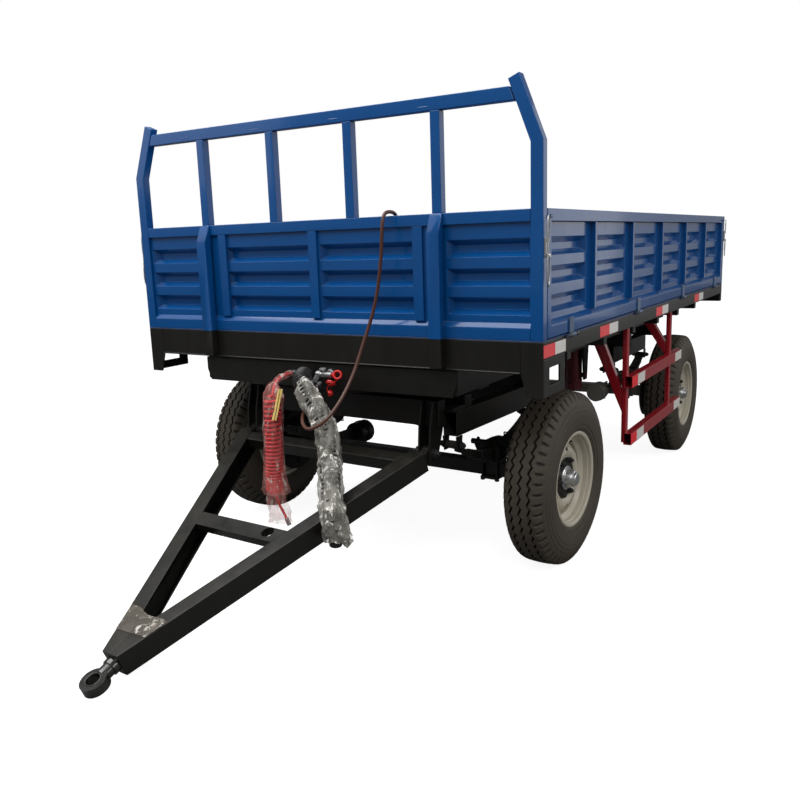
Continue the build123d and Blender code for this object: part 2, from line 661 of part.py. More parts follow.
def leaf_spring(y):
    """Left leaf spring of one axle: a stack of arched leaves with rolled eyes."""
    base_z = TYRE_R + AXLE_SIZE / 2 + CLAMP_PLATE
    rise = SPRING_EYE_Z - base_z - LEAF * LEAF_COUNT
    pieces = []
    for index in range(LEAF_COUNT):
        reach = SPRING_HALF * (index + 1.2) / (LEAF_COUNT + 0.2)
        lift = rise * (reach / SPRING_HALF) ** 2
        z = base_z + LEAF * index
        under = ThreePointArc((0, y - reach, z + lift), (0, y, z), (0, y + reach, z + lift))
        over = ThreePointArc((0, y + reach, z + lift + LEAF + 0.1), (0, y, z + LEAF + 0.1),
                             (0, y - reach, z + lift + LEAF + 0.1))
        ends = Line(under @ 1, over @ 0) + Line(over @ 1, under @ 0)
        face = make_face(under + over + ends)
        leaf = extrude(face, amount=SPRING_WIDTH, dir=(1, 0, 0))
        pieces.append(Pos(SPRING_X - SPRING_WIDTH / 2, 0, 0) * leaf)
    for side in (-1, 1):
        pieces.append(rod_x(SPRING_X - SPRING_WIDTH / 2, SPRING_X + SPRING_WIDTH / 2,
                            y + side * SPRING_HALF, SPRING_EYE_Z, 18))
    return fuse(pieces)


SPRING_EYE_Z = 602.0


def axle(y, chamber_side):
    """Axle beam with spindles, brake plates, spring clamps and brake chambers on one side of it."""
    half = AXLE_SIZE / 2
    top = TYRE_R + half
    low = TYRE_R - half
    pieces = [block(-AXLE_REACH, AXLE_REACH, y - half, y + half, low, top)]
    start = AXLE_REACH + WELD_GAP
    spindle = rod_x(start, 850, y, TYRE_R, SPINDLE_R) + rod_x(start, 701, y, TYRE_R, 52)
    pieces += both(spindle + rod_x(700, 708, y, TYRE_R, BRAKE_PLATE_R))
    bolt_y = half + BOLT_CLEARANCE + BOLT_R
    reach = bolt_y + CLAMP_EDGE
    bolt_x = SPRING_WIDTH / 2 + 1 + BOLT_R
    side_x = SPRING_WIDTH / 2 + 15
    over = top + CLAMP_PLATE + LEAF * LEAF_COUNT
    clamp = block(SPRING_X - side_x, SPRING_X + side_x, y - reach, y + reach, top + WELD_GAP, top + CLAMP_PLATE)
    clamp = clamp + block(SPRING_X - side_x, SPRING_X + side_x, y - reach, y + reach,
                          low - CLAMP_PLATE, low - WELD_GAP)
    for side in (-1, 1):
        for edge in (-1, 1):
            clamp = clamp + rod_z(low - CLAMP_PLATE - 10, over + 24, SPRING_X + edge * bolt_x,
                                  y + side * bolt_y, BOLT_R)
        clamp = clamp + block(SPRING_X - side_x, SPRING_X + side_x, y + side * bolt_y - 8, y + side * bolt_y + 8,
                              over + 4, over + 18)
    pieces += both(clamp)
    near = y + chamber_side * (half + WELD_GAP)
    far = y + chamber_side * 190
    bracket = block(430, 442, min(near, far), max(near, far), TYRE_R - 20, TYRE_R + 60)
    reach = sorted((y + chamber_side * 300, y + chamber_side * 189))
    pieces += both(bracket + rod_y(*reach, 436, TYRE_R + 20, 62))
    return group(pieces)


def ring(z0, z1, inner, outer):
    """A flat ring about the steering axis."""
    disc = rod_z(z0, z1, 0, FRONT_AXLE_Y, outer)
    return disc - rod_z(z0 - 1, z1 + 1, 0, FRONT_AXLE_Y, inner)


def turntable_upper():
    """Upper turntable ring with its carrier plates below the chassis rails."""
    pieces = [ring(RING_Z + RING_GAP / 2, RING_TOP_Z, RING_INNER_R, RING_OUTER_R)]
    reach = RAIL_X + RAIL_WIDTH / 2
    for y in (FRONT_AXLE_Y - 440, FRONT_AXLE_Y + 340):
        pieces.append(block(-reach, reach, y, y + 100, RING_TOP_Z + WELD_GAP, CHASSIS_BOTTOM_Z - WELD_GAP))
    return group(pieces)


def cylinder_cradle():
    """Hangers below the chassis that carry both cylinders' trunnions."""
    top = CHASSIS_BOTTOM_Z - WELD_GAP
    pieces = []
    for sign in (-1, 1):
        for side in (-1, 1):
            x = sign * CYL_X + side * 78
            outline = [(CYL_Y - 60, top), (CYL_Y - 26, CYL_PIVOT_Z - 26), (CYL_Y + 26, CYL_PIVOT_Z - 26),
                       (CYL_Y + 60, top)]
            hole = rod_x(x - 20, x + 20, CYL_Y, CYL_PIVOT_Z, 16 + PIN_GAP)
            foot = block(x - 12, x + 12, CYL_Y - 60, CYL_Y + 60, top - 8, top)
            pieces.append((plate_x(outline, x - 6, x + 6) - hole) + foot)
    return pieces


nodes["chassis_frame"] = group(chassis_frame() + cylinder_cradle())
nodes["rear_subframe"] = rear_subframe()
nodes["turntable_upper"] = turntable_upper()
nodes["rear_axle"] = axle(REAR_AXLE_Y, -1)
nodes["rear_springs"] = group(both(leaf_spring(REAR_AXLE_Y)))


# ---------------------------------------------------------------- steering bogie
def bogie_frame():
    """Bogie tubes, cross beams, spring hangers and the drawbar's forks."""
    gap = WELD_GAP
    half = BOGIE_TUBE_WIDTH / 2
    z1 = BOGIE_TUBE_Z + BOGIE_TUBE_HEIGHT + gap
    y0 = FRONT_AXLE_Y - BOGIE_HALF
    y1 = FRONT_AXLE_Y + BOGIE_HALF
    top = RING_BOTTOM_Z - gap
    first = FRONT_AXLE_Y - 330
    front = FRONT_BEAM_Y
    back = front + FRONT_BEAM_WIDTH
    pieces = carrier_tubes(FRONT_AXLE_Y)
    pieces.append(block(-FRONT_BEAM_REACH, FRONT_BEAM_REACH, front, back, FRONT_BEAM_Z, top))
    pieces += both(block(SPRING_X - half, SPRING_X + half, back + gap, first - gap, z1, z1 + 20))
    for y in (first, FRONT_AXLE_Y + 270):
        pieces.append(block(-SPRING_X - half, SPRING_X + half, y, y + 60, z1, top))
    inner = SPRING_X - half - gap
    pieces.append(block(-inner, inner, y1 - 60, y1, BOGIE_TUBE_Z, z1 - gap))
    low = DRAW_HINGE_Z - 30
    under = FRONT_BEAM_Z - gap
    cheek = [(front - gap, top), (front - 20, top), (front - 48, FRONT_BEAM_Z), (DRAW_HINGE_Y - 34, low),
             (DRAW_HINGE_Y + 34, low), (back, under), (front - gap, under)]
    bore = rod_x(300, 700, DRAW_HINGE_Y, DRAW_HINGE_Z, DRAW_PIN_R + PIN_GAP)
    near = KNUCKLE_HALF + KNUCKLE_GAP
    for x in (DRAW_HINGE_X - near - CHEEK, DRAW_HINGE_X + near):
        pieces += both(plate_x(cheek, x, x + CHEEK) - bore)
    corner = DRAW_HINGE_X - near - CHEEK - gap
    gusset = block(corner - GUSSET_R, corner, front, front + CHEEK, under - GUSSET_R, under)
    arch = rod_y(front - 1, front + CHEEK + 1, corner - GUSSET_R, under - GUSSET_R, GUSSET_R)
    pieces += both(gusset - arch)
    return group(pieces)


def turntable_lower():
    """Lower turntable ring."""
    return ring(RING_BOTTOM_Z, RING_Z - RING_GAP / 2, RING_INNER_R, RING_OUTER_R)


nodes["bogie_frame"] = steer(bogie_frame())
nodes["turntable_lower"] = steer(turntable_lower())
nodes["front_axle"] = steer(axle(FRONT_AXLE_Y, 1))
nodes["front_springs"] = steer(group(both(leaf_spring(FRONT_AXLE_Y))))


# ---------------------------------------------------------------- drawbar
def beam_half_width(s):
    """Outer half width of the A-frame at a distance s ahead of the hinge."""
    return NOSE_HALF + BEAM_SPREAD * (NOSE_S - s)


BEAM_ACROSS = BEAM_WIDTH * math.hypot(1, BEAM_SPREAD)
BEAM_MEET_S = NOSE_S + (NOSE_HALF - BEAM_ACROSS) / BEAM_SPREAD


def drawbar_beam():
    """Left beam of the A-frame, drawn flat: a channel whose open side faces the middle."""
    half = BEAM_DEPTH / 2
    points = [(beam_half_width(BEAM_TAIL_S), -BEAM_TAIL_S), (NOSE_HALF, -NOSE_S), (WELD_GAP / 2, -NOSE_S),
              (WELD_GAP / 2, -BEAM_MEET_S), (beam_half_width(BEAM_TAIL_S) - BEAM_ACROSS, -BEAM_TAIL_S)]
    web = BEAM_WALL * math.hypot(1, BEAM_SPREAD)
    start = BEAM_TAIL_S + BEAM_WALL
    end = BEAM_MEET_S - NOSE_FILL_LENGTH
    inside = [(beam_half_width(start) - web, -start), (beam_half_width(end) - web, -end),
              (beam_half_width(end) - 2 * BEAM_ACROSS, -end), (beam_half_width(start) - 2 * BEAM_ACROSS, -start)]
    return plate_z(points, -half, half) - plate_z(inside, BEAM_WALL - half, half - BEAM_WALL)


def drawbar_knuckle():
    """Left hinge knuckle behind the beam, with its pin."""
    x0 = DRAW_HINGE_X - KNUCKLE_HALF
    x1 = DRAW_HINGE_X + KNUCKLE_HALF
    neck = block(x0, x1, -BEAM_TAIL_S + WELD_GAP, 0, -26, 26)
    reach = KNUCKLE_HALF + KNUCKLE_GAP + CHEEK + 14
    pin = rod_x(DRAW_HINGE_X - reach, DRAW_HINGE_X + reach, 0, 0, DRAW_PIN_R)
    return neck + rod_x(x0, x1, 0, 0, 30) + pin


def between_beams(near, far, low, high):
    """Cross piece of the A-frame from one beam's inner face to the other's."""
    reach_near = beam_half_width(near) - BEAM_ACROSS - WELD_GAP
    reach_far = beam_half_width(far) - BEAM_ACROSS - WELD_GAP
    points = [(-reach_near, -near), (reach_near, -near), (reach_far, -far), (-reach_far, -far)]
    return plate_z(points, low, high)


def drawbar_frame():
    """A-frame with its knuckles, cross plate, rear cross tube and nose filler."""
    half = BEAM_DEPTH / 2
    pieces = both(drawbar_beam()) + both(drawbar_knuckle())
    near = CROSS_PLATE_S - CROSS_PLATE_LENGTH / 2
    cross = between_beams(near, near + CROSS_PLATE_LENGTH, half - CROSS_PLATE_DEPTH, half - 0.5)
    pieces.append(cross - rod_z(-200, 200, CROSS_HOLE_X, -CROSS_PLATE_S + 8, CROSS_HOLE_R))
    pieces.append(between_beams(REAR_CROSS_S, REAR_CROSS_S + REAR_CROSS_SIZE, half - REAR_CROSS_SIZE, half - 0.5))
    filler = BEAM_MEET_S - NOSE_FILL_LENGTH
    tip = BEAM_MEET_S - 3
    pieces.append(between_beams(filler, tip, -half, half - 0.5))
    return group(pieces)


def tow_eye():
    """Towing ring with its neck, ahead of the nose."""
    disc = rod_z(-EYE_THICK / 2, EYE_THICK / 2, 0, -EYE_S, EYE_R)
    neck = rod_y(-EYE_S + 30, -NOSE_S - 0.3, 0, 0, EYE_NECK_R)
    collar = rod_y(-NOSE_S - 22, -NOSE_S - 0.3, 0, 0, EYE_NECK_R + 6)
    bore = rod_z(-100, 100, 0, -EYE_S, EYE_BORE_R)
    ring_body = disc + neck - bore
    return ring_body + collar


nodes["drawbar_frame"] = pitch(drawbar_frame())
nodes["tow_eye"] = pitch(tow_eye())


# ---------------------------------------------------------------- wheels
def tyre():
    """Tyre about the origin, with its axle along X."""
    half = TYRE_WIDTH / 2
    points = [(-83, 206), (-83, 219), (-92, 220), (-half + 4, 262), (-half, 300), (-half + 8, 340),
              (-half + 24, 372), (-72, 388), (-60, 396), (-30, TYRE_R), (30, TYRE_R),
              (60, 396), (72, 388), (half - 24, 372), (half - 8, 340), (half, 300),
              (half - 4, 262), (92, 220), (83, 219), (83, 206), (70, 206), (78, 226), (92, 262),
              (94, 300), (84, 345), (50, 376), (-50, 376), (-84, 345), (-94, 300),
              (-92, 262), (-78, 226), (-70, 206)]
    return revolve_x(points, 0, 0, 0)


def rim():
    """Left wheel disc, rim, hub and brake drum about the origin; outboard is +X."""
    w = RIM_HALF_WIDTH
    barrel = [(-w, RIM_FLANGE_R - 1), (-w + 5, RIM_FLANGE_R - 1), (-w + 6, 205.5), (-62, 203),
              (-48, 176), (28, 176), (44, 203), (w - 6, 205.5), (w - 5, RIM_FLANGE_R - 1),
              (w, RIM_FLANGE_R - 1), (w - 1, 201), (50, 198), (34, 171), (-54, 171), (-68, 198),
              (-w + 1, 201)]
    disc = [(6, 172), (12, 172), (34, 150), (52, 128), (46, 104), (40, 98), (40, 62), (33, 62),
            (33, 102), (38, 108), (43, 126), (27, 146), (6, 164)]
    bore = SPINDLE_R + PIN_GAP
    hub = [(-30, bore), (-30, 70), (20, 70), (20, 104), (32.5, 104), (32.5, 58), (60, 54), (78, 44),
           (96, 30), (102, 0.5), (-18, 0.5), (-18, bore)]
    drum = [(-160, 150), (-160, 158), (-70, 158), (-60, 148), (-60, 60), (-29, 60), (-29, 52),
            (-68, 52), (-68, 142), (-76, 150)]
    body = revolve_x(barrel, 0, 0, 0) + revolve_x(disc, 0, 0, 0)
    for index in range(6):
        angle = math.radians(60 * index + 30)
        y = 138 * math.cos(angle)
        z = 138 * math.sin(angle)
        body = body - rod_x(-10, 80, y, z, 15)
    body = body + revolve_x(hub, 0, 0, 0) + revolve_x(drum, 0, 0, 0)
    for index in range(6):
        angle = math.radians(60 * index)
        body = body + rod_x(38, 58, 84 * math.cos(angle), 84 * math.sin(angle), 10)
    return body


TYRE_SHAPE = tyre()
RIM_SHAPE = rim()


def place_wheel(shape, side, y):
    """Move a left wheel piece to its axle end; side is 1 for left and -1 for right."""
    turned = shape if side > 0 else mirror(shape, about=Plane.YZ)
    placed = Pos(side * WHEEL_X, y, TYRE_R) * turned
    return steer(placed) if y == FRONT_AXLE_Y else placed


for end, y in (("front", FRONT_AXLE_Y), ("rear", REAR_AXLE_Y)):
    for name, side in (("left", 1), ("right", -1)):
        nodes[f"tyre_{end}_{name}"] = place_wheel(TYRE_SHAPE, side, y)
        nodes[f"wheel_{end}_{name}"] = place_wheel(RIM_SHAPE, side, y)


# ---------------------------------------------------------------- tipping cylinders
def barrel(x):
    """Cylinder barrel with its trunnion pins."""
    bore = STAGE_RADII[0] + STAGE_GAP
    shape = rod_z(BARREL_BOTTOM_Z, BARREL_TOP_Z, x, CYL_Y, BARREL_R)
    shape = shape - rod_z(BARREL_BOTTOM_Z + 14, BARREL_TOP_Z + 1, x, CYL_Y, bore)
    for side in (-1, 1):
        shape = shape + rod_x(x + side * (BARREL_R - 3), x + side * 84, CYL_Y, CYL_PIVOT_Z, 16)
    return shape


def stage(x, index):
    """One telescopic stage; the last one ends in the rod's eye."""
    r = STAGE_RADII[index]
    low = BARREL_BOTTOM_Z + 18 + 6 * index
    top = BARREL_TOP_Z + 8 * (index + 1)
    shape = rod_z(low, top, x, CYL_Y, r)
    if index < 2:
        hollow = STAGE_RADII[index + 1] + STAGE_GAP
        shape = shape - rod_z(low + 3, top + 1, x, CYL_Y, hollow)
        return shape
    head = rod_z(top - 1, CYL_EYE_Z - 8, x, CYL_Y, 20)
    eye = rod_x(x - 22, x + 22, CYL_Y, CYL_EYE_Z, 26)
    pin = rod_x(x - 33, x + 33, CYL_Y, CYL_EYE_Z, 12)
    return shape + head + eye + pin


for name, side in (("left", 1), ("right", -1)):
    nodes[f"barrel_{name}"] = barrel(side * CYL_X)
    for index in range(3):
        nodes[f"stage_{index + 1}_{name}"] = stage(side * CYL_X, index)


# ---------------------------------------------------------------- hoses
COUPLER = (62.0, 932.0)
GLAND_END_Y = -14.0

AIR_LEAD = [(-134, -14, 925), (-130, -60, 926), (-131, -108, 918), (-127, -152, 899),
            (-112, -183, 868), (-103, -199, 838)]
AIR_COIL = [(-102, -200, 860), (-104, -202, 760), (-110, -198, 650), (-114, -202, 540),
            (-122, -200, 424)]
AIR_TAIL = [(-122, -200, 440), (-116, -201, 405), (-98, -203, 365), (-76, -200, 328), (-62, -199, 298)]
CABLE_COIL = [(-66, -14, 918), (-34, -76, 916), (14, -132, 902), (78, -178, 864), (136, -200, 812),
              (188, -222, 749), (220, -252, 675), (255, -292, 604), (290, -341, 541), (328, -389, 494),
              (357, -418, 450), (361, -420, 408), (356, -414, 368)]
HYDRAULIC = [(401, 66, 1396), (397, 63, 1446), (397, 66, 1497), (396, 64, 1546), (396, 60, 1582),
             (396, 38, 1606), (396, -26, 1606), (396, -50, 1582), (393, -55, 1528), (386, -52, 1448),
             (375, -54, 1368), (360, -52, 1290), (341, -58, 1214), (318, -70, 1138), (299, -96, 1058),
             (285, -134, 968), (272, -196, 884), (256, -252, 824), (228, -288, 782), (186, -304, 758),
             (146, -296, 753), (106, -266, 766), (68, -216, 782), (38, -158, 798), (18, -104, 826),
             (8, -54, 862), (5, -14, 876)]


def hose(name, points, radius):
    """A round tube along straight runs joined by tangent arcs as large as the runs allow."""
    corners = []
    for before, here, after in zip(points, points[1:], points[2:]):
        first = Vector(*here) - Vector(*before)
        second = Vector(*after) - Vector(*here)
        turn = math.radians(first.get_angle(second))
        corners.append(0.45 * min(first.length, second.length) / math.tan(turn / 2))
    path = FilletPolyline(points, radius=corners)
    section = Plane(origin=path @ 0, z_dir=path % 0) * Circle(radius)
    tube = sweep(section, path=path)
    print(name, "length", round(path.length), "smallest radius", round(min(corners)),
          "volume ratio", round(tube.volume / (math.pi * radius ** 2 * path.length), 4))
    return tube


def plug(tip, before, radius, length):
    """Round plug that meets a hose's end squarely, in line with its last run."""
    axis = Vector(*tip) - Vector(*before)
    place = Plane(origin=tip, z_dir=axis)
    return place * Cylinder(radius, length, align=(Align.CENTER, Align.CENTER, Align.MIN))


def hose_fittings():
    """Glands, hydraulic port and brake coupler on the chassis front plate."""
    room = block(-200, 200, GLAND_END_Y - 60, PLATE_FACE_Y - WELD_GAP, 700, 1100)
    pieces = [plug(*AIR_LEAD[:2], 13, 60) & room, plug(*CABLE_COIL[:2], 30, 60) & room,
              plug(*HYDRAULIC[:-3:-1], 11, 60) & room]
    x, z = COUPLER
    pieces.append(rod_y(-40, PLATE_FACE_Y - WELD_GAP, x, z, 16) + rod_x(x - 42, x + 40, -40, z, 15))
    return group(pieces)


def hose_ends():
    """End couplings of both coiled hoses."""
    return group([plug(*AIR_TAIL[:-3:-1], 12, 34), plug(*CABLE_COIL[:-3:-1], 28, 46)])


nodes["hose_fittings"] = hose_fittings()
nodes["hose_air"] = fuse([hose("air lead", AIR_LEAD, AIR_LEAD_R), hose("air coil", AIR_COIL, AIR_COIL_R),
                          hose("air tail", AIR_TAIL, AIR_LEAD_R)])
nodes["hose_cable"] = hose("cable coil", CABLE_COIL, CABLE_COIL_R)
nodes["hose_hydraulic"] = hose("hydraulic", HYDRAULIC, HYDRAULIC_R)
nodes["hose_ends"] = hose_ends()
nodes["hydraulic_coupling"] = plug(*HYDRAULIC[:2], 14, 58)


# ---------------------------------------------------------------- origin and export
def overall_box():
    """Box round every node that counts for the origin."""
    whole = Compound(children=[Compound(list(shape.solids())) for shape in nodes.values()])
    return whole.bounding_box()


box = overall_box()
shift = -(box.min.Y + box.max.Y) / 2
print("shift", round(shift, 4), "x centre", round((box.min.X + box.max.X) / 2, 4),
      "z low", round(box.min.Z, 4), "size", box.size)
print("pitch", DRAW_PITCH)
for name, shape in nodes.items():
    export_step(Pos(0, shift, 0) * shape, f"parts/{name}.step")
print(len(nodes), "nodes")
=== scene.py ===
"""Looks, lights and camera of the farm dump trailer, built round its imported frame."""

import json
import logging
import math
from dataclasses import dataclass, field
from enum import Enum

import bpy
from mathutils import Matrix, Vector

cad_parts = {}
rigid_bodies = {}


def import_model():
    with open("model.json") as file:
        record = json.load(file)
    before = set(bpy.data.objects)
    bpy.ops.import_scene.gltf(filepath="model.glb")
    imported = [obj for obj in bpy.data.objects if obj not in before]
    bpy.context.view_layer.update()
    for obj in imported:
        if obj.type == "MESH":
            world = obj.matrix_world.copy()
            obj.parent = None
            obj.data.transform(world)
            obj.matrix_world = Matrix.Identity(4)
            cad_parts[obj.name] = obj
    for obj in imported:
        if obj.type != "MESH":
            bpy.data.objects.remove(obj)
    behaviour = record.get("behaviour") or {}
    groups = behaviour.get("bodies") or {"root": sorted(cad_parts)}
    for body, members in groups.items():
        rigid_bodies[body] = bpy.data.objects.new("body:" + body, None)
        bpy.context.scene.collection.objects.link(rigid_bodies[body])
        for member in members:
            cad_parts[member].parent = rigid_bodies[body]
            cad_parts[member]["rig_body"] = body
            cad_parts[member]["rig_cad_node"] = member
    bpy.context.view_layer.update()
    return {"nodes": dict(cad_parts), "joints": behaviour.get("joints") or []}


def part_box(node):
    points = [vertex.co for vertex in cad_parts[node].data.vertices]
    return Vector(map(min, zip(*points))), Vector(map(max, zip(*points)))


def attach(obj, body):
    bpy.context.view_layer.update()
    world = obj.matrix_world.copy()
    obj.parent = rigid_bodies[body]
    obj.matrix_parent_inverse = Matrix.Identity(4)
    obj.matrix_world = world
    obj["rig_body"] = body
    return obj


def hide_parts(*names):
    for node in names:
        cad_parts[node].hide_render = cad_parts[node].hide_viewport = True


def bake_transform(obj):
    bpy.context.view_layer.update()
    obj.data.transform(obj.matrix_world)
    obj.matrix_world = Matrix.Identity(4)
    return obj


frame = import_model()
LOG = logging.getLogger("trailer")

BED_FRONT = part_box("bed_floor")[0].y
HALF_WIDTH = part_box("bed_floor")[1].x
FLOOR_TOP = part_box("bed_floor")[1].z
BED_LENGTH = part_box("bed_floor")[1].y - BED_FRONT
JOINTS = {joint["name"]: joint for joint in frame["joints"]}


class Side(Enum):
    """The two sides of the trailer; the value is the sign of X."""

    LEFT = 1
    RIGHT = -1


class End(Enum):
    """The two axles."""

    FRONT = "front"
    REAR = "rear"


def at(x: float, y: float, z: float) -> Vector:
    """A point in the row frame from one whose y counts from the headboard's front.

    Args:
        x: Distance to the trailer's left of its middle.
        y: Distance behind the headboard's front face.
        z: Height above the ground.

    Returns:
        The point in the row frame.
    """
    return Vector((x, y + BED_FRONT, z))


# ------------------------------------------------------------------ mesh tools
def pick(piece: bpy.types.Object) -> None:
    """Select one object alone and make it active."""
    bpy.ops.object.select_all(action="DESELECT")
    piece.select_set(True)
    bpy.context.view_layer.objects.active = piece


def finish_modifiers(piece: bpy.types.Object) -> None:
    """Apply every modifier of a piece, in order."""
    pick(piece)
    for modifier in list(piece.modifiers):
        bpy.ops.object.modifier_apply(modifier=modifier.name)


def settle(piece: bpy.types.Object, matrix: Matrix = Matrix.Identity(4)) -> bpy.types.Object:
    """Put a piece's place into its mesh, with one more move if given.

    Args:
        piece: The object to settle.
        matrix: A further move in the row frame.

    Returns:
        The same object, at the origin.
    """
    bpy.context.view_layer.update()
    piece.data.transform(matrix @ piece.matrix_world)
    piece.matrix_world = Matrix.Identity(4)
    if matrix.determinant() < 0:
        piece.data.flip_normals()
    return piece


def smooth(piece: bpy.types.Object, angle: float = 35.0) -> bpy.types.Object:
    """Shade a piece smooth below an angle between faces.

    Args:
        piece: The object to shade.
        angle: Largest angle, in degrees, that is shaded smooth.

    Returns:
        The same object.
    """
    pick(piece)
    bpy.ops.object.shade_smooth_by_angle(angle=math.radians(angle))
    return piece


def round_edges(piece: bpy.types.Object, width: float, segments: int = 2) -> bpy.types.Object:
    """Round a piece's sharp edges.

    Args:
        piece: The object to round.
        width: Width of the rounding.
        segments: Number of faces across it.

    Returns:
        The same object.
    """
    bevel = piece.modifiers.new("round", "BEVEL")
    bevel.width = width
    bevel.segments = segments
    bevel.limit_method = "ANGLE"
    bevel.angle_limit = math.radians(32)
    finish_modifiers(piece)
    smooth(piece)
    flats = piece.modifiers.new("flats", "WEIGHTED_NORMAL")
    flats.keep_sharp = True
    finish_modifiers(piece)
    return piece


def slab(name: str, low: Vector, high: Vector, rounding: float = 0.001) -> bpy.types.Object:
    """A plate or block between two corners, with rounded edges.

    Args:
        name: Name of the object.
        low: Its lowest corner.
        high: Its highest corner.
        rounding: Width of the rounded edges; 0 leaves them sharp.

    Returns:
        The settled object.
    """
    bpy.ops.object.select_all(action="DESELECT")
    bpy.ops.mesh.primitive_cube_add(size=1, location=(low + high) / 2)
    piece = bpy.context.active_object
    piece.name = name
    piece.scale = high - low
    settle(piece)
    return round_edges(piece, rounding) if rounding else piece


def rod(name: str, start: Vector, end: Vector, radius: float, sides: int = 24,
        rounding: float = 0.0) -> bpy.types.Object:
    """A round or many-sided rod between two points.

    Args:
        name: Name of the object.
        start: Centre of its first end.
        end: Centre of its other end.
        radius: Its radius.
        sides: Number of sides; 6 makes a nut or a bolt head.
        rounding: Width of the rounded edges; 0 leaves them sharp.

    Returns:
        The settled object.
    """
    axis = end - start
    bpy.ops.object.select_all(action="DESELECT")
    bpy.ops.mesh.primitive_cylinder_add(vertices=sides, radius=radius, depth=axis.length,
                                        location=(start + end) / 2,
                                        rotation=axis.to_track_quat("Z", "Y").to_euler())
    piece = bpy.context.active_object
    piece.name = name
    settle(piece)
    if rounding:
        return round_edges(piece, rounding)
    return smooth(piece) if sides > 8 else piece


def lathe(name: str, outline: list, steps: int = 64) -> bpy.types.Object:
    """A solid of revolution about the X axis.

    Args:
        name: Name of the object.
        outline: Closed outline as (along X, radius) pairs.
        steps: Number of faces round the axis.

    Returns:
        The object about the origin, with its faces outwards.
    """
    bpy.ops.object.select_all(action="DESELECT")
    bpy.ops.mesh.primitive_circle_add(vertices=len(outline), radius=1.0)
    piece = bpy.context.active_object
    piece.name = name
    for vertex, (along, radius) in zip(piece.data.vertices, outline):
        vertex.co = (along, 0.0, radius)
    screw = piece.modifiers.new("turn", "SCREW")
    screw.axis = "X"
    screw.steps = steps
    screw.render_steps = steps
    screw.use_merge_vertices = True
    screw.merge_threshold = 1e-5
    finish_modifiers(piece)
    outwards(piece)
    return smooth(piece)


def outwards(piece: bpy.types.Object) -> None:
    """Merge a mesh's doubles and turn its faces outwards."""
    pick(piece)
    bpy.ops.object.mode_set(mode="EDIT")
    bpy.ops.mesh.select_all(action="SELECT")
    bpy.ops.mesh.remove_doubles(threshold=1e-5)
    bpy.ops.mesh.normals_make_consistent(inside=False)
    bpy.ops.object.mode_set(mode="OBJECT")


def joined(name: str, parts: list) -> bpy.types.Object:
    """Join several settled objects into one.

    Args:
        name: Name of the result.
        parts: The objects, all with a mesh.

    Returns:
        The joined object.
    """
    bpy.ops.object.select_all(action="DESELECT")
    for part in parts:
        part.select_set(True)
    bpy.context.view_layer.objects.active = parts[0]
    bpy.ops.object.join()
    piece = bpy.context.active_object
    piece.name = name
    return piece


def copied(piece: bpy.types.Object, name: str, matrix: Matrix) -> bpy.types.Object:
    """A copy of a settled piece, with its own mesh, at another place.

    Args:
        piece: The piece to copy.
        name: Name of the copy.
        matrix: Move from its place to the copy's.

    Returns:
        The copy.
    """
    twin = piece.copy()
    twin.data = piece.data.copy()
    twin.name = name
    bpy.context.scene.collection.objects.link(twin)
    return settle(twin, matrix)


def bead_ring(centre: Vector, radius: float, thick: float) -> bpy.types.Object:
    """A thin ring about a vertical axis.

    Args:
        centre: The ring's middle.
        radius: Radius of the circle along its section's middle.
        thick: Radius of its section.

    Returns:
        The ring.
    """
    bpy.ops.object.select_all(action="DESELECT")
    bpy.ops.mesh.primitive_torus_add(location=centre, major_radius=radius, minor_radius=thick,
                                     major_segments=48, minor_segments=10)
    return smooth(settle(bpy.context.active_object), 60)


def cut_away(piece: bpy.types.Object, tool: bpy.types.Object) -> bpy.types.Object:
    """Cut one solid out of another and remove the tool.

    Args:
        piece: The solid that is cut.
        tool: The solid that it loses, which is removed.

    Returns:
        The cut piece.
    """
    boolean = piece.modifiers.new("cut", "BOOLEAN")
    boolean.operation = "DIFFERENCE"
    boolean.solver = "EXACT"
    boolean.object = tool
    finish_modifiers(piece)
    bpy.data.objects.remove(tool)
    return piece


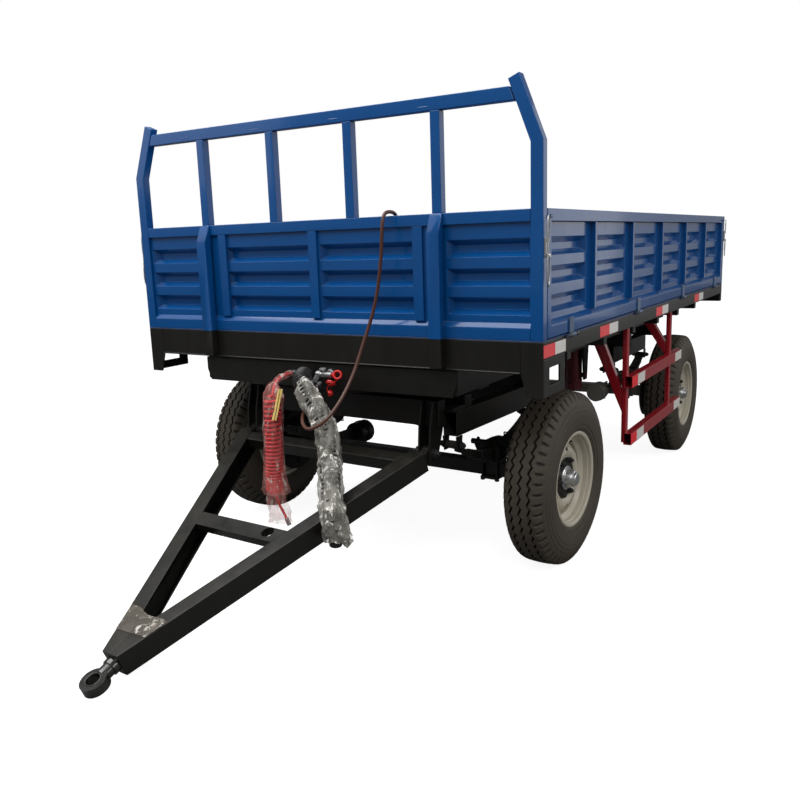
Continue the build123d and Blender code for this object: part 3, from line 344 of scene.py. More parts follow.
# ------------------------------------------------------------------ materials
class Graph:
    """Short hand for building one node tree."""

    def __init__(self, tree: bpy.types.NodeTree) -> None:
        """Keep the tree that nodes go into."""
        self.tree = tree

    def node(self, kind: str, **values: object) -> bpy.types.Node:
        """Add a node.

        Args:
            kind: Its type, without the ShaderNode prefix.
            values: Its properties, or values and links of its inputs by name.

        Returns:
            The node.
        """
        made = self.tree.nodes.new(kind if kind.startswith("NodeGroup") else "ShaderNode" + kind)
        for key, value in values.items():
            if hasattr(made, key) and key not in made.inputs:
                setattr(made, key, value)
                continue
            self.feed(made.inputs[key], value)
        return made

    def feed(self, socket: bpy.types.NodeSocket, value: object) -> None:
        """Link a socket, or set its value."""
        if isinstance(value, bpy.types.NodeSocket):
            self.tree.links.new(value, socket)
        else:
            socket.default_value = value

    def math(self, operation: str, first: object, second: object = 0.0,
             clamp: bool = False) -> bpy.types.NodeSocket:
        """The result of a Math node on two values.

        Args:
            operation: The node's operation.
            first: Its first value or link.
            second: Its second value or link.
            clamp: Whether the result is held between 0 and 1.

        Returns:
            The result's socket.
        """
        made = self.node("Math", operation=operation, use_clamp=clamp)
        self.feed(made.inputs[0], first)
        self.feed(made.inputs[1], second)
        return made.outputs[0]

    def mix(self, amount: object, first: object, second: object) -> bpy.types.NodeSocket:
        """A colour between two others.

        Args:
            amount: Share of the second colour.
            first: The first colour.
            second: The second colour.

        Returns:
            The mixed colour's socket.
        """
        made = self.node("Mix", data_type="RGBA")
        self.feed(made.inputs[0], amount)
        self.feed(made.inputs[6], first)
        self.feed(made.inputs[7], second)
        return made.outputs[2]

    def span(self, value: object, low: float, high: float, to_low: float = 0.0,
             to_high: float = 1.0) -> bpy.types.NodeSocket:
        """A value mapped from one range to another, held at the ends."""
        made = self.node("MapRange", Value=value)
        for index, number in enumerate((low, high, to_low, to_high)):
            made.inputs[index + 1].default_value = number
        return made.outputs[0]

    def noise(self, place: object, scale: float, detail: float = 4.0,
              roughness: float = 0.5) -> bpy.types.NodeSocket:
        """The value of a noise texture."""
        made = self.node("TexNoise", Vector=place, Scale=scale, Detail=detail, Roughness=roughness)
        return made.outputs[0]


def colour(red: float, green: float, blue: float) -> tuple:
    """An RGBA colour from linear red, green and blue."""
    return (red, green, blue, 1.0)


def weather_group() -> bpy.types.NodeTree:
    """Node group that lays blotches, fine grain and settled dust over a colour."""
    group = bpy.data.node_groups.new("weather", "ShaderNodeTree")
    interface = group.interface
    for name, kind, value in (("Colour", "NodeSocketColor", None), ("Dust Colour", "NodeSocketColor", None),
                              ("Dust", "NodeSocketFloat", 0.2), ("Blotch", "NodeSocketFloat", 0.15),
                              ("Roughness", "NodeSocketFloat", 0.3), ("Grain", "NodeSocketFloat", 0.1),
                              ("Grain Scale", "NodeSocketFloat", 300.0)):
        socket = interface.new_socket(name, in_out="INPUT", socket_type=kind)
        if value is not None:
            socket.default_value = value
    for name, kind in (("Colour", "NodeSocketColor"), ("Roughness", "NodeSocketFloat"),
                       ("Height", "NodeSocketFloat")):
        interface.new_socket(name, in_out="OUTPUT", socket_type=kind)
    graph = Graph(group)
    into = graph.node("NodeGroupInput")
    place = graph.node("TexCoord").outputs["Object"]
    blotch = graph.noise(place, 3.1, 5.0, 0.6)
    drawn = graph.node("Mapping", Vector=place, Scale=(9.0, 9.0, 1.6)).outputs[0]
    streak = graph.noise(drawn, 2.0, 4.0, 0.55)
    fine = graph.node("TexNoise", Vector=place, Scale=into.outputs["Grain Scale"], Detail=2.0).outputs[0]
    shade = graph.math("MULTIPLY", graph.math("SUBTRACT", blotch, 0.5), into.outputs["Blotch"])
    value = graph.math("ADD", graph.math("MULTIPLY", shade, 2.0), 1.0)
    tinted = graph.node("HueSaturation", Color=into.outputs["Colour"], Value=value).outputs[0]
    facing = graph.node("SeparateXYZ", Vector=graph.node("NewGeometry").outputs["Normal"]).outputs[2]
    lying = graph.span(facing, 0.2, 1.0, 0.25, 1.0)
    spread = graph.math("ADD", graph.math("MULTIPLY", streak, 0.6), graph.math("MULTIPLY", blotch, 0.5))
    patch = graph.span(spread, 0.38, 0.78)
    dust = graph.math("MULTIPLY", graph.math("MULTIPLY", lying, patch), into.outputs["Dust"], clamp=True)
    dusted = graph.mix(dust, tinted, into.outputs["Dust Colour"])
    dulled = graph.math("MULTIPLY", graph.math("SUBTRACT", streak, 0.5), 0.16)
    rougher = graph.math("ADD", graph.math("MULTIPLY", dust, 0.5), dulled)
    rough = graph.math("ADD", into.outputs["Roughness"], rougher, clamp=True)
    height = graph.math("ADD", graph.math("MULTIPLY", fine, into.outputs["Grain"]),
                        graph.math("MULTIPLY", blotch, 0.3))
    graph.node("NodeGroupOutput", Colour=dusted, Roughness=rough, Height=height)
    return group


WEATHER = weather_group()


@dataclass(frozen=True)
class Finish:
    """A painted, metal, rubber or plastic finish with weathering."""

    name: str
    base: tuple
    rough: float = 0.35
    metal: float = 0.0
    coat: float = 0.0
    shine: float = 0.3
    dust: float = 0.15
    dust_colour: tuple = (0.30, 0.27, 0.22, 1.0)
    blotch: float = 0.12
    grain: float = 0.2
    grain_scale: float = 260.0
    bump: float = 0.12

    def make(self) -> bpy.types.Material:
        """The finish's material, built once."""
        found = bpy.data.materials.get(self.name)
        if found:
            return found
        material = bpy.data.materials.new(self.name)
        material.use_nodes = True
        graph = Graph(material.node_tree)
        shader = material.node_tree.nodes["Principled BSDF"]
        worn = graph.node("Group", node_tree=WEATHER)
        for socket, value in (("Colour", self.base), ("Dust Colour", self.dust_colour), ("Dust", self.dust),
                              ("Blotch", self.blotch), ("Roughness", self.rough), ("Grain", self.grain),
                              ("Grain Scale", self.grain_scale)):
            worn.inputs[socket].default_value = value
        shader.inputs["Metallic"].default_value = self.metal
        shader.inputs["Coat Weight"].default_value = self.coat
        shader.inputs["Specular IOR Level"].default_value = self.shine
        shader.inputs["Coat Roughness"].default_value = 0.08
        self.detail(graph, shader, worn)
        return material

    def detail(self, graph: Graph, shader: bpy.types.Node, worn: bpy.types.Node) -> None:
        """Join the weathering to the shader; kinds of finish add their own pattern here.

        Args:
            graph: The material's graph.
            shader: Its Principled shader.
            worn: The weathering group's node.
        """
        graph.feed(shader.inputs["Base Color"], worn.outputs["Colour"])
        graph.feed(shader.inputs["Roughness"], worn.outputs["Roughness"])
        bump = graph.node("Bump", Strength=self.bump, Distance=0.002, Height=worn.outputs["Height"])
        graph.feed(shader.inputs["Normal"], bump.outputs[0])


@dataclass(frozen=True)
class FilmFinish(Finish):
    """Crumpled clear polythene that shows what is under it, with painted highlight lines on its creases."""

    cover: float = 0.35
    crease: float = 26.0
    # streak: strength of the pale lines painted on the creases as highlights
    streak: float = 0.4

    def detail(self, graph: Graph, shader: bpy.types.Node, worn: bpy.types.Node) -> None:
        """Soft long folds, with fine pale lines painted where the crumpled film's creases would catch the
        light: painted highlights.

        Args:
            graph: The material's graph.
            shader: Its Principled shader.
            worn: The weathering group's node.
        """
        place = graph.node("TexCoord").outputs["Object"]
        turned = graph.node("Mapping", Vector=place, Rotation=(0.5, 0.3, 0.0), Scale=(1.0, 1.0, 0.42))
        drawn = turned.outputs[0]
        folds = graph.node("TexNoise", Vector=drawn, Scale=self.crease, Detail=3.0,
                           Distortion=1.6).outputs["Fac"]
        fine = graph.node("TexNoise", Vector=drawn, Scale=self.crease * 3.3, Detail=2.0,
                          Distortion=0.8).outputs["Fac"]
        cloud = graph.noise(place, self.crease * 0.45, 2.0)
        # Painted highlight: pale lines where the folds and the fine noise peak together; the film is also
        # less clear along them.
        line = graph.math("MULTIPLY", graph.span(folds, 0.53, 0.62), graph.span(fine, 0.42, 0.60))
        clear = graph.span(cloud, 0.38, 0.62, self.cover * 0.65, self.cover * 1.35)
        alpha = graph.math("ADD", clear, graph.math("MULTIPLY", line, self.streak), clamp=True)
        # The film's colour with the painted highlight lines mixed in.
        highlit_colour = graph.mix(line, worn.outputs["Colour"], colour(0.80, 0.78, 0.72))
        graph.feed(shader.inputs["Base Color"], highlit_colour)
        graph.feed(shader.inputs["Alpha"], alpha)
        graph.feed(shader.inputs["Roughness"], worn.outputs["Roughness"])
        bump = graph.node("Bump", Strength=0.7, Distance=0.004, Height=folds)
        graph.feed(shader.inputs["Normal"], bump.outputs[0])


@dataclass(frozen=True)
class RubberFinish(Finish):
    """Tyre rubber, dusty on its faces, with painted shade darkening its grooves and notches."""

    def detail(self, graph: Graph, shader: bpy.types.Node, worn: bpy.types.Node) -> None:
        """Paint shade into the rubber where the tyre's groove shade attribute says so, in place of the shade
        that falls in its grooves and notches.

        Args:
            graph: The material's graph.
            shader: Its Principled shader.
            worn: The weathering group's node.
        """
        super().detail(graph, shader, worn)
        deep = graph.node("Attribute", attribute_name="groove").outputs["Fac"]
        # Painted shade: the rubber is pulled almost to black where the attribute marks a groove or notch.
        shaded_rubber = graph.mix(deep, worn.outputs["Colour"], colour(0.004, 0.0037, 0.003))
        graph.feed(shader.inputs["Base Color"], shaded_rubber)


@dataclass(frozen=True)
class PrismFinish(Finish):
    """Retro-reflective tape with a fine net of cells."""

    cell: float = 0.012
    net: float = 0.35

    def detail(self, graph: Graph, shader: bpy.types.Node, worn: bpy.types.Node) -> None:
        """Pale cell borders on the tape's colour.

        Args:
            graph: The material's graph.
            shader: Its Principled shader.
            worn: The weathering group's node.
        """
        place = graph.node("TexCoord").outputs["Object"]
        cells = graph.node("TexVoronoi", Vector=place, Scale=1.0 / self.cell, feature="DISTANCE_TO_EDGE",
                           Randomness=0.12)
        border = graph.span(cells.outputs["Distance"], 0.0, 0.09, self.net, 0.0)
        netted = graph.mix(border, worn.outputs["Colour"], colour(0.9, 0.86, 0.84))
        graph.feed(shader.inputs["Base Color"], netted)
        graph.feed(shader.inputs["Roughness"], worn.outputs["Roughness"])
        bump = graph.node("Bump", Strength=0.3, Distance=0.001, Height=border)
        graph.feed(shader.inputs["Normal"], bump.outputs[0])


@dataclass(frozen=True)
class BrushedFinish(Finish):
    """Plated or turned metal with a fine grain."""

    def detail(self, graph: Graph, shader: bpy.types.Node, worn: bpy.types.Node) -> None:
        """Spangle in the plating, with tiny scratches.

        Args:
            graph: The material's graph.
            shader: Its Principled shader.
            worn: The weathering group's node.
        """
        place = graph.node("TexCoord").outputs["Object"]
        spangle = graph.node("TexVoronoi", Vector=place, Scale=150.0)
        tone = graph.span(spangle.outputs["Distance"], 0.0, 1.0, 0.82, 1.08)
        toned = graph.node("HueSaturation", Color=worn.outputs["Colour"], Value=tone)
        graph.feed(shader.inputs["Base Color"], toned.outputs[0])
        graph.feed(shader.inputs["Roughness"], worn.outputs["Roughness"])
        brushed = graph.node("Mapping", Vector=place, Scale=(1.0, 1.0, 30.0)).outputs[0]
        scratch = graph.noise(brushed, 90.0, 2.0)
        bump = graph.node("Bump", Strength=self.bump, Distance=0.001, Height=scratch)
        graph.feed(shader.inputs["Normal"], bump.outputs[0])


BLUE = Finish("blue_enamel", colour(0.0022, 0.068, 0.245), rough=0.22, coat=0.40, shine=0.25, dust=0.03,
              blotch=0.14, bump=0.03, dust_colour=colour(0.10, 0.14, 0.20))
BLACK = Finish("black_enamel", colour(0.0085, 0.0080, 0.0068), rough=0.30, coat=0.12, dust=0.10, blotch=0.2,
               dust_colour=colour(0.16, 0.15, 0.11))
CHASSIS_BLACK = Finish("chassis_black", colour(0.0062, 0.0060, 0.0052), rough=0.40, dust=0.14, blotch=0.2,
                       dust_colour=colour(0.14, 0.13, 0.10))
RED = Finish("guard_red", colour(0.34, 0.010, 0.018), rough=0.22, coat=0.3, dust=0.03, bump=0.03)
DARK_RED = Finish("cylinder_red", colour(0.09, 0.006, 0.010), rough=0.35, coat=0.1, dust=0.12)
FLOOR_PAINT = Finish("floor_enamel", colour(0.013, 0.060, 0.20), rough=0.42, coat=0.1, dust=0.32, blotch=0.3,
                     grain=0.4)
PAINTED_ZINC = Finish("painted_zinc", colour(0.10, 0.16, 0.27), rough=0.36, metal=0.55, dust=0.25, blotch=0.5,
                      dust_colour=colour(0.5, 0.52, 0.55))
SPRING_STEEL = Finish("spring_steel", colour(0.016, 0.015, 0.014), rough=0.5, metal=0.2, dust=0.3, blotch=0.3)
CREAM = Finish("rim_enamel", colour(0.50, 0.46, 0.37), rough=0.30, coat=0.2, dust=0.25, blotch=0.12,
               dust_colour=colour(0.26, 0.22, 0.16))
RUBBER = RubberFinish("tyre_rubber", colour(0.060, 0.050, 0.038), rough=0.55, dust=0.35, blotch=0.3,
                dust_colour=colour(0.15, 0.125, 0.09), grain=0.6, grain_scale=420.0, bump=0.3)
ZINC = BrushedFinish("zinc_plate", colour(0.56, 0.57, 0.58), rough=0.30, metal=0.9, dust=0.08, blotch=0.2)
CHROME = BrushedFinish("chrome_rod", colour(0.72, 0.73, 0.75), rough=0.10, metal=1.0, dust=0.02, bump=0.03)
EYE_BLACK = Finish("eye_black", colour(0.0105, 0.0098, 0.0082), rough=0.17, coat=0.6, shine=0.5, dust=0.02,
                   bump=0.25)
DARK_STEEL = BrushedFinish("dark_steel", colour(0.06, 0.06, 0.062), rough=0.42, metal=0.7, dust=0.15)
CAST = Finish("cast_grey", colour(0.26, 0.25, 0.22), rough=0.38, metal=0.4, dust=0.3, blotch=0.5,
              dust_colour=colour(0.42, 0.38, 0.32), grain=0.7, grain_scale=160.0, bump=0.4)
HOSE_RED = Finish("hose_red", colour(0.66, 0.030, 0.040), rough=0.32, coat=0.2, dust=0.03)
HOSE_BLACK = Finish("hose_black", colour(0.012, 0.012, 0.013), rough=0.3, coat=0.2, dust=0.08)
HOSE_BROWN = Finish("hose_brown", colour(0.085, 0.032, 0.022), rough=0.33, coat=0.2, dust=0.12,
                    dust_colour=colour(0.3, 0.2, 0.15))
CAP_RED = Finish("cap_red", colour(0.60, 0.012, 0.012), rough=0.28, coat=0.3, dust=0.03)
LABEL = Finish("bare_label", colour(0.72, 0.55, 0.18), rough=0.4, dust=0.1, blotch=0.3)
# streak sets the strength of each film's painted highlight lines.
FILM = FilmFinish("clear_film", colour(0.16, 0.14, 0.115), rough=0.2, dust=0.0, cover=0.50, crease=17.0,
                  streak=0.12)
PINK_FILM = FilmFinish("pink_film", colour(0.74, 0.30, 0.27), rough=0.16, dust=0.0, cover=0.22, crease=24.0,
                       streak=0.35)
GREY_FILM = FilmFinish("grey_film", colour(0.25, 0.24, 0.21), rough=0.15, dust=0.0, cover=0.60, crease=22.0,
                       streak=0.6)
TAPE_RED = PrismFinish("tape_red", colour(0.86, 0.006, 0.018), rough=0.35, coat=0.05, shine=0.2, dust=0.0,
                       net=0.12)
TAPE_WHITE = PrismFinish("tape_white", colour(0.74, 0.73, 0.69), rough=0.35, coat=0.05, dust=0.03, net=0.2)


def dress(piece: bpy.types.Object, finish: Finish) -> bpy.types.Object:
    """Give a piece one finish in place of any it had."""
    piece.data.materials.clear()
    piece.data.materials.append(finish.make())
    return piece


def keep(piece: bpy.types.Object, body: str,
         stands_for: tuple = ()) -> bpy.types.Object:
    """Mount a finished piece on its body.

    Args:
        piece: The settled piece.
        body: The CAD body it rides on.
        stands_for: CAD nodes that it replaces.

    Returns:
        The same piece.
    """
    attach(piece, body)
    if stands_for:
        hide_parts(*stands_for)
    LOG.info("%s rides on %s with %d faces", piece.name, body, len(piece.data.polygons)
             if piece.type == "MESH" else 0)
    return piece


def softened(node: str, width: float, finish: Finish) -> bpy.types.Object:
    """A CAD node's twin whose sharp edges are rounded like rolled or welded steel.

    Args:
        node: The CAD node.
        width: Width of the rounding.
        finish: Finish of the twin.

    Returns:
        The twin, which replaces the node.
    """
    source = frame["nodes"][node]
    twin = source.copy()
    twin.data = source.data.copy()
    twin.name = node + "_steel"
    twin.parent = None
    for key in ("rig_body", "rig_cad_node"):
        del twin[key]
    bpy.context.scene.collection.objects.link(twin)
    pick(twin)
    bpy.ops.object.mode_set(mode="EDIT")
    bpy.ops.mesh.select_all(action="SELECT")
    bpy.ops.mesh.remove_doubles(threshold=1e-5)
    bpy.ops.mesh.dissolve_limited(angle_limit=math.radians(0.5))
    bpy.ops.mesh.separate(type="LOOSE")
    bpy.ops.object.mode_set(mode="OBJECT")
    parts = list(bpy.context.selected_objects)
    for part in parts:
        round_edges(part, width)
    piece = joined(twin.name, parts)
    return keep(dress(piece, finish), source["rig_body"], (node,))


def two_tone(piece: bpy.types.Object, height: float, finish: Finish) -> bpy.types.Object:
    """Paint what is below a height in another finish, with a straight edge.

    Args:
        piece: A piece that already has its first finish.
        height: Height of the edge.
        finish: Finish below it.

    Returns:
        The same piece.
    """
    pick(piece)
    bpy.ops.object.mode_set(mode="EDIT")
    bpy.ops.mesh.select_all(action="SELECT")
    bpy.ops.mesh.bisect(plane_co=(0, 0, height), plane_no=(0, 0, 1))
    bpy.ops.object.mode_set(mode="OBJECT")
    piece.data.materials.append(finish.make())
    for polygon in piece.data.polygons:
        polygon.material_index = 1 if polygon.center.z < height else 0
    return piece


# ------------------------------------------------------------------ camera, light and floor
@dataclass
class Studio:
    """Camera, lamps, world and floor."""

    eye: tuple = (2.1523, -2.8259, 1.4879)
    azimuth: float = 31.539
    elevation: float = 11.088
    roll: float = -1.914
    lens: float = 36.38
    sensor: float = 36.0
    floor_reach: float = 40.0
    floor_glow: float = 0.91
    sky: float = 0.26
    lamps: tuple = (("key", (2.6, -4.8, 5.6), 3.6, 150.0), ("fill", (-5.0, -3.0, 4.0), 4.0, 50.0),
                    ("side", (5.6, 8.6, 2.6), 5.0, 60.0), ("right", (7.0, 1.0, 4.0), 3.6, 150.0),
                    ("top", (-1.4, -0.7, 6.2), 5.2, 430.0))

    def build(self) -> None:
        """Make the whole studio."""
        self.camera()
        self.floor()
        self.world()
        for name, place, size, power in self.lamps:
            self.lamp(name, at(*place), size, power)
        bpy.context.scene.view_settings.view_transform = "Standard"

    def camera(self) -> None:
        """The camera at its fitted place."""
        azimuth, elevation, roll = (math.radians(x) for x in (self.azimuth, self.elevation, self.roll))
        back = Vector((math.sin(azimuth) * math.cos(elevation), -math.cos(azimuth) * math.cos(elevation),
                       math.sin(elevation)))
        right = Vector((0, 0, 1)).cross(back).normalized()
        above = back.cross(right)
        right, above = (right * math.cos(roll) + above * math.sin(roll),
                        above * math.cos(roll) - right * math.sin(roll))
        camera = bpy.data.objects.new("camera", bpy.data.cameras.new("camera"))
        bpy.context.scene.collection.objects.link(camera)
        turn = Matrix((right, above, back)).transposed().to_4x4()
        camera.matrix_world = Matrix.Translation(at(*self.eye)) @ turn
        camera.data.lens = self.lens
        camera.data.sensor_width = self.sensor
        bpy.context.scene.camera = camera

    def floor(self) -> None:
        """A plain pale floor that keeps the trailer's shadow."""
        bpy.ops.object.select_all(action="DESELECT")
        bpy.ops.mesh.primitive_plane_add(size=self.floor_reach, location=at(0, 1.8, -0.001))
        floor = bpy.context.active_object
        floor.name = "floor"
        material = bpy.data.materials.new("floor")
        material.use_nodes = True
        graph = Graph(material.node_tree)
        shader = material.node_tree.nodes["Principled BSDF"]
        shader.inputs["Roughness"].default_value = 0.9
        glow = graph.node("Emission", Strength=self.floor_glow)
        light = graph.node("LightPath").outputs
        seen = light["Is Camera Ray"]
        tone = graph.mix(seen, colour(0.14, 0.14, 0.14), colour(0.34, 0.34, 0.34))
        graph.feed(shader.inputs["Base Color"], tone)
        total = graph.node("AddShader")
        graph.feed(total.inputs[0], shader.outputs[0])
        graph.feed(total.inputs[1], glow.outputs[0])
        choice = graph.node("MixShader")
        graph.feed(choice.inputs[0], seen)
        graph.feed(choice.inputs[1], shader.outputs[0])
        graph.feed(choice.inputs[2], total.outputs[0])
        graph.feed(material.node_tree.nodes["Material Output"].inputs[0], choice.outputs[0])
        floor.data.materials.append(material)

    def world(self) -> None:
        """White to the eye and in reflections, and a soft grey light for the rest."""
        world = bpy.data.worlds.new("studio")
        world.use_nodes = True
        bpy.context.scene.world = world
        graph = Graph(world.node_tree)
        light = graph.node("LightPath").outputs
        seen = graph.math("MAXIMUM", light["Is Camera Ray"], light["Is Transmission Ray"])
        strength = graph.math("ADD", self.sky, graph.math("MULTIPLY", seen, 1 - self.sky))
        background = world.node_tree.nodes["Background"]
        background.inputs[0].default_value = colour(1, 1, 1)
        graph.feed(background.inputs[1], strength)

    def lamp(self, name: str, place: Vector, size: float, power: float) -> None:
        """A square soft box that faces the trailer.

        Args:
            name: Its name.
            place: Its centre.
            size: Its side length.
            power: Its power in watts.
        """
        light = bpy.data.lights.new(name, "AREA")
        light.size = size
        light.energy = power
        lamp = bpy.data.objects.new(name, light)
        bpy.context.scene.collection.objects.link(lamp)
        lamp.location = place
        lamp.rotation_euler = (at(0, 1.6, 0.9) - place).to_track_quat("-Z", "Y").to_euler()
        lamp.visible_camera = False


# ------------------------------------------------------------------ hoses
def route_line(points: list) -> list:
    """Points read from the smooth line of a route.

    Args:
        points: The route's points in the row frame.

    Returns:
        Points along the NURBS line that they control.
    """
    curve = bpy.data.curves.new("route", "CURVE")
    curve.dimensions = "3D"
    spline = curve.splines.new("NURBS")
    spline.points.add(len(points) - 1)
    for point, place in zip(spline.points, points):
        point.co = (*place, 1.0)
    spline.order_u = 3
    spline.use_endpoint_u = True
    curve.resolution_u = 24
    holder = bpy.data.objects.new("route", curve)
    bpy.context.scene.collection.objects.link(holder)
    bpy.context.view_layer.update()
    mesh = bpy.data.meshes.new_from_object(holder)
    line = [vertex.co.copy() for vertex in mesh.vertices]
    bpy.data.objects.remove(holder)
    bpy.data.meshes.remove(mesh)
    return line


@dataclass
class Line:
    """A smooth line that can be walked by distance."""

    points: list
    marks: list = field(default_factory=list)

    def __post_init__(self) -> None:
        """Measure the line."""
        self.marks = [0.0]
        for first, second in zip(self.points, self.points[1:]):
            self.marks.append(self.marks[-1] + (second - first).length)

    @property
    def length(self) -> float:
        """Its whole length."""
        return self.marks[-1]

    def walk(self, distance: float) -> tuple:
        """The place at a distance along the line and its direction there.

        Args:
            distance: Distance from its start, held within the line.

        Returns:
            The place and the unit direction.
        """
        distance = min(max(distance, 0.0), self.length)
        index = 0
        while index < len(self.marks) - 2 and self.marks[index + 1] < distance:
            index += 1
        span = self.points[index + 1] - self.points[index]
        share = (distance - self.marks[index]) / max(span.length, 1e-9)
        return self.points[index] + span * share, span.normalized()

    def frame(self, distance: float) -> tuple:
        """The place and two directions square to the line, which turn little along it."""
        place, along = self.walk(distance)
        across = along.cross(Vector((0.12, 1.0, 0.07))).normalized()
        return place, across, along.cross(across)


def tube_mesh(name: str, line: list, radius: float, sides: int = 12) -> bpy.types.Object:
    """A closed round tube along points, made from a bevelled curve.

    Args:
        name: Name of the piece.
        line: The points along its middle.
        radius: Its radius.
        sides: Number of faces round it.

    Returns:
        The settled mesh.
    """
    curve = bpy.data.curves.new(name, "CURVE")
    curve.dimensions = "3D"
    curve.bevel_depth = radius
    curve.bevel_resolution = max(sides // 2 - 2, 1)
    curve.use_fill_caps = True
    spline = curve.splines.new("POLY")
    spline.points.add(len(line) - 1)
    for point, place in zip(spline.points, line):
        point.co = (*place, 1.0)
    piece = bpy.data.objects.new(name, curve)
    bpy.context.scene.collection.objects.link(piece)
    pick(piece)
    bpy.ops.object.convert(target="MESH")
    outwards(piece)
    return smooth(settle(piece), 60.0)


def sleeve(name: str, line: Line, start: float, stop: float, radius: object, crumple: float,
           seed: float, steps: int = 60, sides: int = 40) -> bpy.types.Object:
    """A loose film sleeve round a line, open at both ends.

    Args:
        name: Name of the piece.
        line: The line it hangs round.
        start: Distance along the line where it begins.
        stop: Distance where it ends.
        radius: Function of the share along it that gives (half width, half depth, shift across).
        crumple: Depth of its creases.
        seed: Shift of the folds round the sleeve.
        steps: Rows along it.
        sides: Columns round it.

    Returns:
        The settled mesh.
    """
    bpy.ops.object.select_all(action="DESELECT")
    bpy.ops.mesh.primitive_cylinder_add(vertices=sides, radius=1.0, depth=1.0, end_fill_type="NOTHING")
    piece = bpy.context.active_object
    piece.name = name
    bpy.ops.object.mode_set(mode="EDIT")
    bpy.ops.mesh.select_all(action="SELECT")
    bpy.ops.mesh.bisect(plane_co=(0, 0, 0), plane_no=(0, 0, 1))
    bpy.ops.object.mode_set(mode="OBJECT")
    cuts = piece.modifiers.new("rows", "SUBSURF")
    cuts.subdivision_type = "SIMPLE"
    cuts.levels = cuts.render_levels = max(1, round(math.log2(steps / 2)))
    finish_modifiers(piece)
    texture = bpy.data.textures.new(name, "CLOUDS")
    texture.noise_scale = 0.035
    texture.noise_depth = 2
    for vertex in piece.data.vertices:
        share = vertex.co.z + 0.5
        angle = math.atan2(vertex.co.y, vertex.co.x)
        wide, deep, shift = radius(share)
        place, across, up = line.frame(start + (stop - start) * share)
        lobes = 1 + 0.10 * math.sin(3 * angle + 9 * share + seed) + 0.06 * math.sin(7 * angle - 17 * share)
        aside, above = math.cos(angle) * wide * lobes + shift, math.sin(angle) * deep * lobes
        vertex.co = place + across * aside + up * above
    creases = piece.modifiers.new("creases", "DISPLACE")
    creases.texture = texture
    creases.strength = crumple
    creases.mid_level = 0.5
    finish_modifiers(piece)
    return smooth(piece, 180.0)


